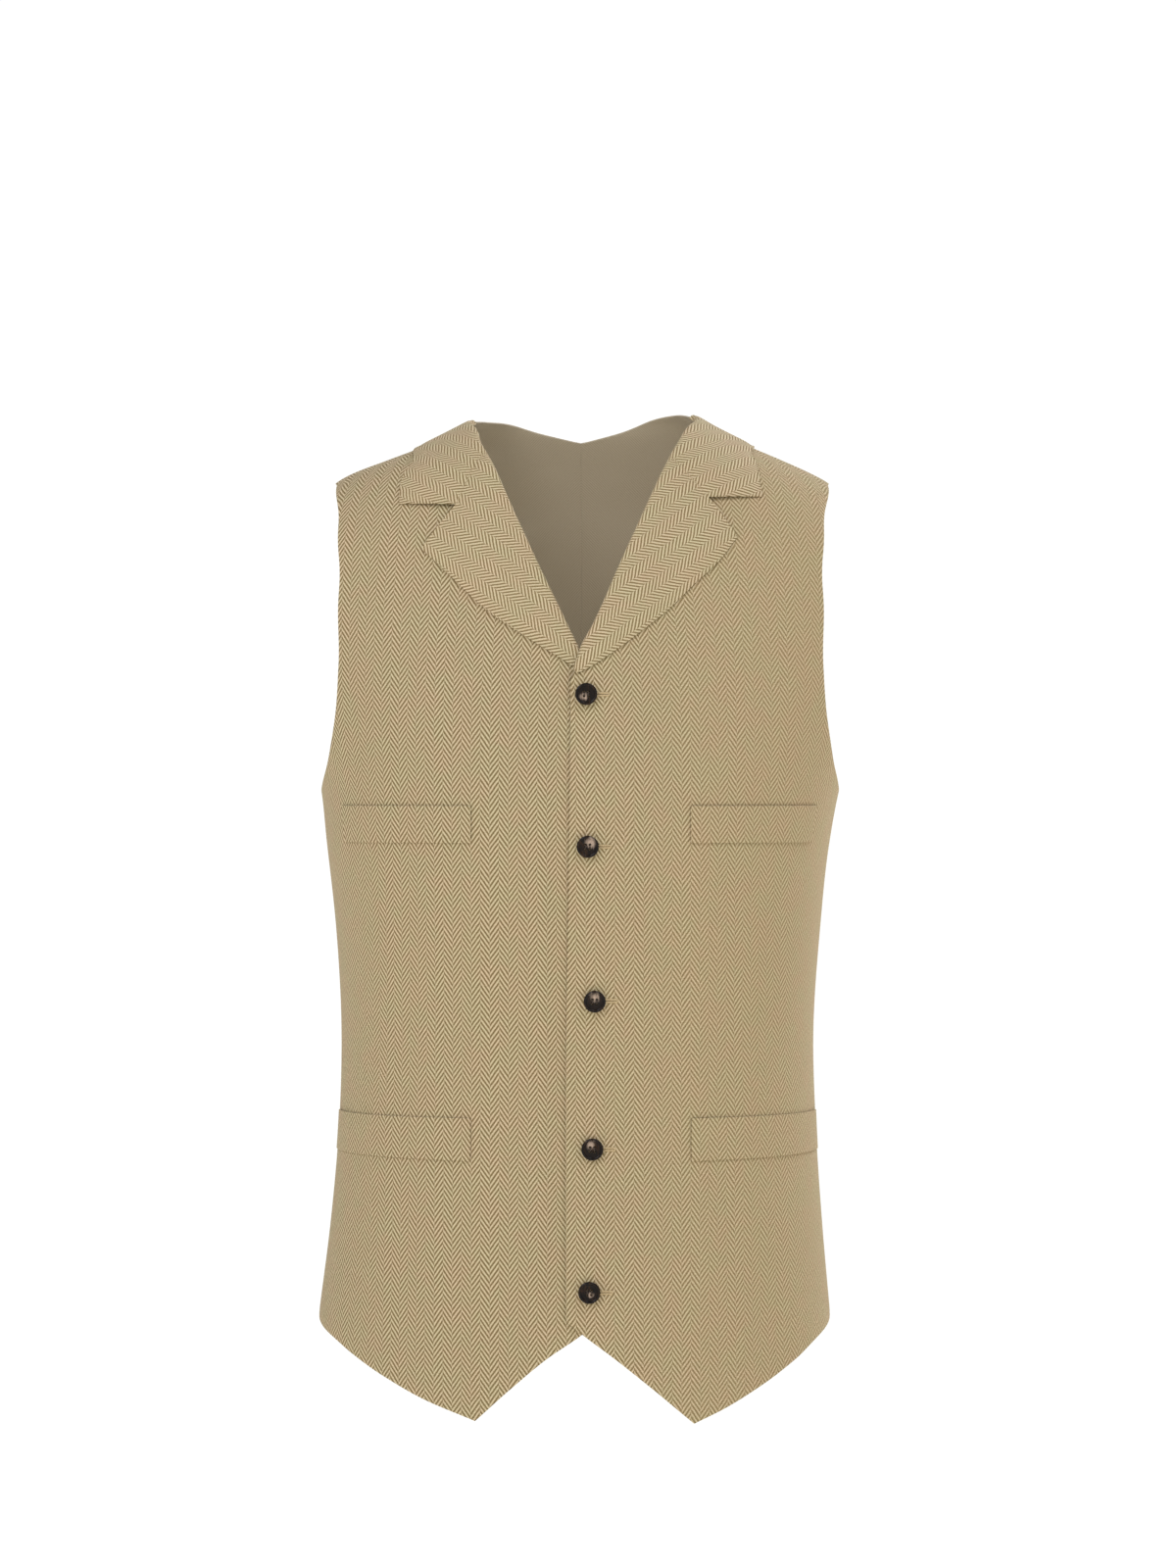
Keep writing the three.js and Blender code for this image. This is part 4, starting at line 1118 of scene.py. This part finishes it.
def sewing(number, x, z, material):
    """The thread of a button: a wrapped shank, whose radius swells at each turn, up through the
    buttonhole's eye, and a loop over the middle of the button through each pair of holes."""
    seat_frame = button_frame(x, z)
    depth = float(overlap_lift(np.array([x, 0.0, z])))
    top = BUTTON_SEAT - SHANK_GAP
    heights = np.linspace(SHANK_GAP - depth, top, 60)
    turns = (heights - heights[0]) / WRAP["every"]
    post = np.stack([0 * heights, 0 * heights, heights], -1)
    wrapped = SHANK_RADIUS - WRAP["swell"] * (1 - np.cos(2 * np.pi * turns))
    points, faces = tube(post, wrapped, 20)
    parts = [(placed(seat_frame, points), faces)]
    offset, floor = BUTTON["hole_offset"], BUTTON_SEAT + BUTTON["thick"] - BUTTON["dish"]
    bow = np.linspace(0, np.pi, 15)
    for a in (-1, 1):
        over = np.stack([np.full(15, a * offset), offset * np.cos(bow), floor - 0.1 + 0.42 * np.sin(bow)], -1)
        drop = over[[0, -1]] - (0, 0, 2.0)
        loop, loop_faces = tube(np.vstack([drop[:1], over, drop[1:]]), LOOP_RADIUS, 10)
        parts.append((placed(seat_frame, loop), loop_faces))
    points, faces = together(parts)
    return new_piece(f"thread_{number}", f"shank_{number}", "thread", points, faces, [material])


# Materials


def linear(code):
    """An sRGB hex colour as linear red, green, blue and alpha."""
    parts = np.array([int(code[i : i + 2], 16) / 255 for i in (0, 2, 4)])
    value = np.where(parts <= 0.04045, parts / 12.92, ((parts + 0.055) / 1.055) ** 2.4)
    return (*value.tolist(), 1.0)


def wire(tree, node, inputs):
    """Sets a node's inputs, or links those that are given another node's output."""
    for key, value in inputs.items():
        if isinstance(value, bpy.types.NodeSocket):
            tree.links.new(value, node.inputs[key])
        else:
            node.inputs[key].default_value = value


def add(tree, kind, inputs=None, stops=(), **settings):
    """Adds a node with its settings, its colour stops, the two end ones first, and its inputs."""
    made = tree.nodes.new(kind)
    for key, value in settings.items():
        setattr(made, key, value)
    for number, (position, colour) in enumerate(stops):
        elements = made.color_ramp.elements
        stop = elements[number] if number < 2 else elements.new(position)
        stop.position, stop.color = position, linear(colour)
    wire(tree, made, inputs or {})
    return made


def material(name):
    made = bpy.data.materials.new(name)
    made.use_nodes = True
    return made, made.node_tree, made.node_tree.nodes["Principled BSDF"]


def herringbone(name, weave, near, far, pale):
    """Woollen herringbone suiting: a matt broken twill of light and darker yarn, soft with loose fibre.
    In legs and pitches, a stroke's level is v + rise * zigzag(u), half a pitch off on every other leg.
    Its strokes have the strength near to the wearer's right and far to the left, and pale lightens
    the cloth as a whole."""
    made, tree, shader = material(name)
    flat = add(tree, "ShaderNodeUVMap", uv_map="cloth").outputs["UV"]
    # The columns wander by up to 0.4 mm and the strokes by up to 0.8 mm, over a centimetre or two
    wander = add(tree, "ShaderNodeTexNoise", {"Vector": flat, "Scale": 0.06, "Detail": 4.0, "Roughness": 0.6})
    moved = add(tree, "ShaderNodeVectorMath", {0: wander.outputs["Color"], 1: (0.5, 0.5, 0.5)},
                operation="SUBTRACT")
    bent = add(tree, "ShaderNodeVectorMath", {0: moved.outputs[0], 1: (0.76, 1.6, 0.0), 2: flat},
               operation="MULTIPLY_ADD")
    counts = (1 / weave["leg"], 1 / weave["pitch"], 0.0)
    start = (weave["phase"], 0.0, 0.0)
    counted = add(tree, "ShaderNodeVectorMath", {0: bent.outputs[0], 1: counts, 2: start},
                  operation="MULTIPLY_ADD")
    split = add(tree, "ShaderNodeSeparateXYZ", {0: counted.outputs[0]})
    u, v = split.outputs["X"], split.outputs["Y"]
    leg = add(tree, "ShaderNodeMath", {0: u}, operation="FLOOR").outputs[0]
    zigzag = add(tree, "ShaderNodeMath", {0: u, 1: 1.0}, operation="PINGPONG").outputs[0]
    risen = add(tree, "ShaderNodeMath", {0: zigzag, 1: weave["rise"], 2: v},
                operation="MULTIPLY_ADD").outputs[0]
    level = add(tree, "ShaderNodeMath", {0: leg, 1: 0.5, 2: risen}, operation="MULTIPLY_ADD").outputs[0]
    stroke = add(tree, "ShaderNodeMath", {0: level, 1: 0.5}, operation="PINGPONG").outputs[0]
    light = add(tree, "ShaderNodeMapRange", {"Value": stroke, "From Min": 0.08, "From Max": 0.42},
                interpolation_type="SMOOTHSTEP").outputs[0]
    # Yarn slubs of about 0.8 mm and fibre of about 0.25 mm
    slub = add(tree, "ShaderNodeTexNoise", {"Vector": flat, "Scale": 1.2, "Detail": 2.0, "Roughness": 0.6})
    fibre = add(tree, "ShaderNodeTexNoise", {"Vector": flat, "Scale": 4.2, "Detail": 2.0, "Roughness": 0.7})
    object_place = add(tree, "ShaderNodeTexCoord").outputs["Object"]
    across = add(tree, "ShaderNodeSeparateXYZ", {0: object_place}).outputs["X"]
    # The strokes' strength goes from near to far across x, from the wearer's right to the left
    clear = add(tree, "ShaderNodeMapRange", {"Value": across, "From Min": -0.06, "From Max": 0.16,
                                             "To Min": near, "To Max": far},
                interpolation_type="SMOOTHSTEP").outputs[0]
    centred = add(tree, "ShaderNodeMath", {0: light, 1: 0.5}, operation="SUBTRACT").outputs[0]
    softened = add(tree, "ShaderNodeMath", {0: centred, 1: clear, 2: 0.5 + pale},
                   operation="MULTIPLY_ADD").outputs[0]
    mixed = add(tree, "ShaderNodeMath", {0: slub.outputs["Fac"], 1: 0.9, 2: -0.7},
                operation="MULTIPLY_ADD").outputs[0]
    yarn = add(tree, "ShaderNodeMath", {0: softened, 1: mixed}, operation="ADD").outputs[0]
    tone = add(tree, "ShaderNodeMath", {0: fibre.outputs["Fac"], 1: 0.5, 2: yarn},
               operation="MULTIPLY_ADD").outputs[0]
    ramp = add(tree, "ShaderNodeValToRGB", {0: tone}, [(0.0, "6d5d3d"), (1.0, "c6b89b"), (0.5, "a08e6c")])
    # The dye varies softly from pinkish to greenish over a centimetre or two
    cloud = add(tree, "ShaderNodeTexNoise", {"Vector": object_place, "Scale": 60.0, "Detail": 3.0,
                                             "Roughness": 0.6})
    shade = add(tree, "ShaderNodeValToRGB", {0: cloud.outputs["Fac"]}, [(0.36, "fff7f0"), (0.64, "fafbf0")])
    colour = add(tree, "ShaderNodeMix", {"Factor": 1.0, "A": ramp.outputs[0], "B": shade.outputs[0]},
                 data_type="RGBA", blend_type="MULTIPLY")
    height = add(tree, "ShaderNodeMath", {0: fibre.outputs["Fac"], 1: 0.5, 2: tone},
                 operation="MULTIPLY_ADD").outputs[0]
    bump = add(tree, "ShaderNodeBump", {"Height": height, "Strength": 0.5, "Distance": 0.0003})
    wire(tree, shader, {
        "Base Color": colour.outputs["Result"], "Normal": bump.outputs[0], "Roughness": 0.9,
        "Specular IOR Level": 0.25, "Sheen Weight": 0.1, "Sheen Roughness": 0.5,
        "Sheen Tint": linear("f2e6cf"),
    })
    return made


def twill(name, dark, bright, roughness):
    """Smooth closely woven cloth with a soft gloss: fine diagonal twill lines, which are drawn 1.4 mm
    apart, where they are about half a millimetre apart on real cloth, so that they show."""
    made, tree, shader = material(name)
    uv = add(tree, "ShaderNodeUVMap", uv_map="cloth").outputs["UV"]
    lines = add(tree, "ShaderNodeTexWave", {"Vector": uv, "Scale": 0.314, "Distortion": 0.6,
                                            "Detail": 1.0, "Detail Scale": 0.6},
                wave_type="BANDS", bands_direction="DIAGONAL")
    grain = add(tree, "ShaderNodeTexNoise", {"Vector": uv, "Scale": 1.4, "Detail": 3.0, "Roughness": 0.65})
    cloud = add(tree, "ShaderNodeTexNoise", {"Vector": uv, "Scale": 0.02, "Detail": 2.0})
    tone = add(tree, "ShaderNodeMath", {0: lines.outputs["Fac"], 1: 0.4, 2: grain.outputs["Fac"]},
               operation="MULTIPLY_ADD")
    full = add(tree, "ShaderNodeMath", {0: cloud.outputs["Fac"], 1: 0.12, 2: tone.outputs[0]},
               operation="MULTIPLY_ADD")
    ramp = add(tree, "ShaderNodeValToRGB", {0: full.outputs[0]}, [(0.35, dark), (0.95, bright)])
    bump = add(tree, "ShaderNodeBump", {"Height": tone.outputs[0], "Strength": 0.35, "Distance": 0.00012})
    wire(tree, shader, {
        "Base Color": ramp.outputs[0], "Normal": bump.outputs[0], "Roughness": roughness,
        "Specular IOR Level": 0.35, "Sheen Weight": 0.08,
    })
    return made


def horn(name):
    """Polished buffalo horn: near black and brown in drawn-out clouds, with one pale cloud in each button
    that is a painted highlight, and a hard gloss that is a little softer where the horn is paler."""
    made, tree, shader = material(name)
    place = add(tree, "ShaderNodeTexCoord").outputs["Object"]
    # Clouds about 4 mm across and 11 mm long, a little aslant
    stretched = add(tree, "ShaderNodeMapping", {"Vector": place, "Rotation": (0.0, 0.6, 0.0),
                                                "Scale": (260.0, 260.0, 90.0)})
    cloud = add(tree, "ShaderNodeTexNoise", {"Vector": stretched.outputs[0], "Scale": 1.0, "Detail": 4.0,
                                             "Roughness": 0.55, "Distortion": 1.2})
    ramp = add(tree, "ShaderNodeValToRGB", {0: cloud.outputs["Fac"]},
               [(0.35, "0a0502"), (0.72, "36220f"), (0.55, "150b05")])
    # A painted highlight: a pale greyish beige cloud round a spot on each button's face, where its light shows
    face = add(tree, "ShaderNodeUVMap", uv_map="face").outputs["UV"]
    spot = add(tree, "ShaderNodeVectorMath", {0: face, 1: (0.0, 0.38, 0.0)}, operation="DISTANCE")
    pale = add(tree, "ShaderNodeMath", {0: cloud.outputs["Fac"], 1: 0.9, 2: spot.outputs["Value"]},
               operation="MULTIPLY_ADD")
    painted_highlight = add(tree, "ShaderNodeMapRange", {"Value": pale.outputs[0], "From Min": 1.0, "From Max": 0.5,
                                              "To Max": 0.8}, interpolation_type="SMOOTHSTEP")
    # The painted highlight's pale colour is mixed over the horn's own clouds
    colour = add(tree, "ShaderNodeMix", {"Factor": painted_highlight.outputs[0], "A": ramp.outputs[0],
                                         "B": linear("b09a86")}, data_type="RGBA")
    gloss = add(tree, "ShaderNodeMapRange", {"Value": cloud.outputs["Fac"], "To Min": 0.1, "To Max": 0.22})
    bump = add(tree, "ShaderNodeBump", {"Height": cloud.outputs["Fac"], "Strength": 0.15, "Distance": 0.0002})
    wire(tree, shader, {
        "Base Color": colour.outputs["Result"], "Normal": bump.outputs[0], "Roughness": gloss.outputs[0],
        "IOR": 1.54, "Specular IOR Level": 0.16,
    })
    return made


def spun_thread(name, dark, bright):
    """Spun polyester sewing thread: matt, with a little fluff and its twisted plies 0.5 mm apart."""
    made, tree, shader = material(name)
    place = add(tree, "ShaderNodeTexCoord").outputs["Object"]
    ply = add(tree, "ShaderNodeTexWave", {"Vector": place, "Scale": 700.0, "Distortion": 1.5, "Detail": 1.0},
              wave_type="BANDS", bands_direction="DIAGONAL")
    fluff = add(tree, "ShaderNodeTexNoise", {"Vector": place, "Scale": 2500.0, "Detail": 2.0})
    tone = add(tree, "ShaderNodeMath", {0: ply.outputs["Fac"], 1: 0.6, 2: fluff.outputs["Fac"]},
               operation="MULTIPLY_ADD")
    ramp = add(tree, "ShaderNodeValToRGB", {0: tone.outputs[0]}, [(0.3, dark), (1.0, bright)])
    bump = add(tree, "ShaderNodeBump", {"Height": tone.outputs[0], "Strength": 0.6, "Distance": 0.0001})
    wire(tree, shader, {"Base Color": ramp.outputs[0], "Normal": bump.outputs[0], "Roughness": 0.75})
    return made


def studio_white(name):
    """Matt white studio paper."""
    made, tree, shader = material(name)
    place = add(tree, "ShaderNodeTexCoord").outputs["Object"]
    grain = add(tree, "ShaderNodeTexNoise", {"Vector": place, "Scale": 40.0, "Detail": 2.0})
    ramp = add(tree, "ShaderNodeValToRGB", {0: grain.outputs["Fac"]}, [(0.0, "fcf8ee"), (1.0, "fdfaf3")])
    white = ramp.outputs[0]
    wire(tree, shader, {
        "Base Color": white, "Emission Color": white, "Emission Strength": 0.52, "Roughness": 0.95,
    })
    return made


def studio():
    """A pale floor far below the hem, a sky that is white low down and dim higher up, and large soft
    lights from the upper left, from above and from behind."""
    world = bpy.data.worlds.new("studio")
    bpy.context.scene.world = world
    world.use_nodes = True
    tree = world.node_tree
    direction = add(tree, "ShaderNodeTexCoord").outputs["Generated"]
    height = add(tree, "ShaderNodeSeparateXYZ", {0: direction}).outputs["Z"]
    dim = add(tree, "ShaderNodeMapRange", {"Value": height, "From Min": 0.25, "From Max": 0.6},
              interpolation_type="SMOOTHSTEP").outputs[0]
    colour = add(tree, "ShaderNodeMix", {"Factor": dim, "A": (1.04, 1.04, 1.02, 1.0),
                                         "B": (0.3, 0.3, 0.3, 1.0)}, data_type="RGBA")
    tree.links.new(colour.outputs["Result"], tree.nodes["Background"].inputs["Color"])
    radius, thick, level = 2.4, 0.02, -1.12
    points, faces = turned_solid([(0, 0), (radius, 0), (radius, thick), (0, thick)], 64)
    mesh = bpy.data.meshes.new("studio_floor")
    mesh.from_pydata((points + (0, 0, level)).tolist(), [], faces)
    mesh.materials.append(studio_white("studio_paper"))
    floor = put("studio_floor", mesh)
    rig.stage(floor)
    lights = (("key", (-1.4, -2.3, 1.6), 1.4, 37.0), ("top", (0.9, -1.2, 1.9), 1.2, 21.0),
              ("back", (1.9, 1.3, 1.6), 1.0, 40.0))
    for name, at, size, watts in lights:
        lamp = bpy.data.lights.new(name, "AREA")
        lamp.size, lamp.energy, lamp.color = size, watts, (0.96, 0.98, 1.12)
        stand = put(name, lamp)
        stand.location = at
        stand.rotation_euler = pointed(np.array([0, 0, -0.3]) - at)
    bpy.context.scene.view_settings.view_transform = "Standard"


def pointed(toward):
    """The turn that points a lamp, which shines along -Z, in a direction."""
    return Vector(toward).to_track_quat("-Z", "Y").to_euler()


def camera():
    """The photograph's view: level, from 3.2 m in front, at the height of the chest."""
    lens = bpy.data.cameras.new("camera")
    lens.lens, lens.sensor_width = 107.46, 36.0
    lens.clip_end = 100
    taken_from = put("camera", lens)
    taken_from.location = (0.00469, -3.2, -0.23115)
    taken_from.rotation_euler = (np.pi / 2, 0, 0)
    bpy.context.scene.camera = taken_from


camera()
studio()

SUITING = herringbone("woollen_herringbone", WEAVE, 0.9, 0.54, 0.0)
FLAP_SUITING = herringbone("woollen_herringbone_flap", FLAP_WEAVE, 0.88, 0.88, 0.06)
BACK_CLOTH = twill("cotton_sateen_back", "91846d", "aa9d86", 0.6)
LINING = twill("viscose_twill_lining", "91846c", "ada087", 0.42)
HORN = horn("polished_horn")
BUTTON_THREAD = spun_thread("button_thread", "1d140e", "3c2d20")
STITCH_THREAD = spun_thread("buttonhole_thread", "94805c", "c4ae84")

sheets = []
for side in SIDES:
    line = fold(side)
    made_front = front(side, line, [SUITING, LINING])
    lies_on = [made_front[0]]
    sheets.append((made_front, "hung", []))
    sheets.append((back(side, [BACK_CLOTH, LINING]), "hung", []))
    sheets.append((lapel(side, line, [FLAP_SUITING]), "folded", lies_on))
    sheets.append((collar(side, line, [FLAP_SUITING]), "folded", lies_on))
    sheets.extend((welt(side, size, [SUITING]), "laid", lies_on) for size in WELTS)

over_front = bpy.data.objects["cloth_front_left"]
cut(over_front, *together([keyhole_cutter(x, z) for x, z in BUTTONS]))
stitching = []
for number, (x, z) in enumerate(BUTTONS, 1):
    button(number, x, z, HORN)
    sewing(number, x, z, BUTTON_THREAD)
    stitching.append(buttonhole(number, x, z, STITCH_THREAD))

for (piece, flat), held, rests_on in sheets:
    declare(piece, flat, held, rests_on, stitching if piece is over_front else [])

visual_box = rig.bounds()
with open("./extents.json", "w") as file:
    json.dump({"cad": [list(corner) for corner in cad_box], "visual": [list(corner) for corner in visual_box]}, file)
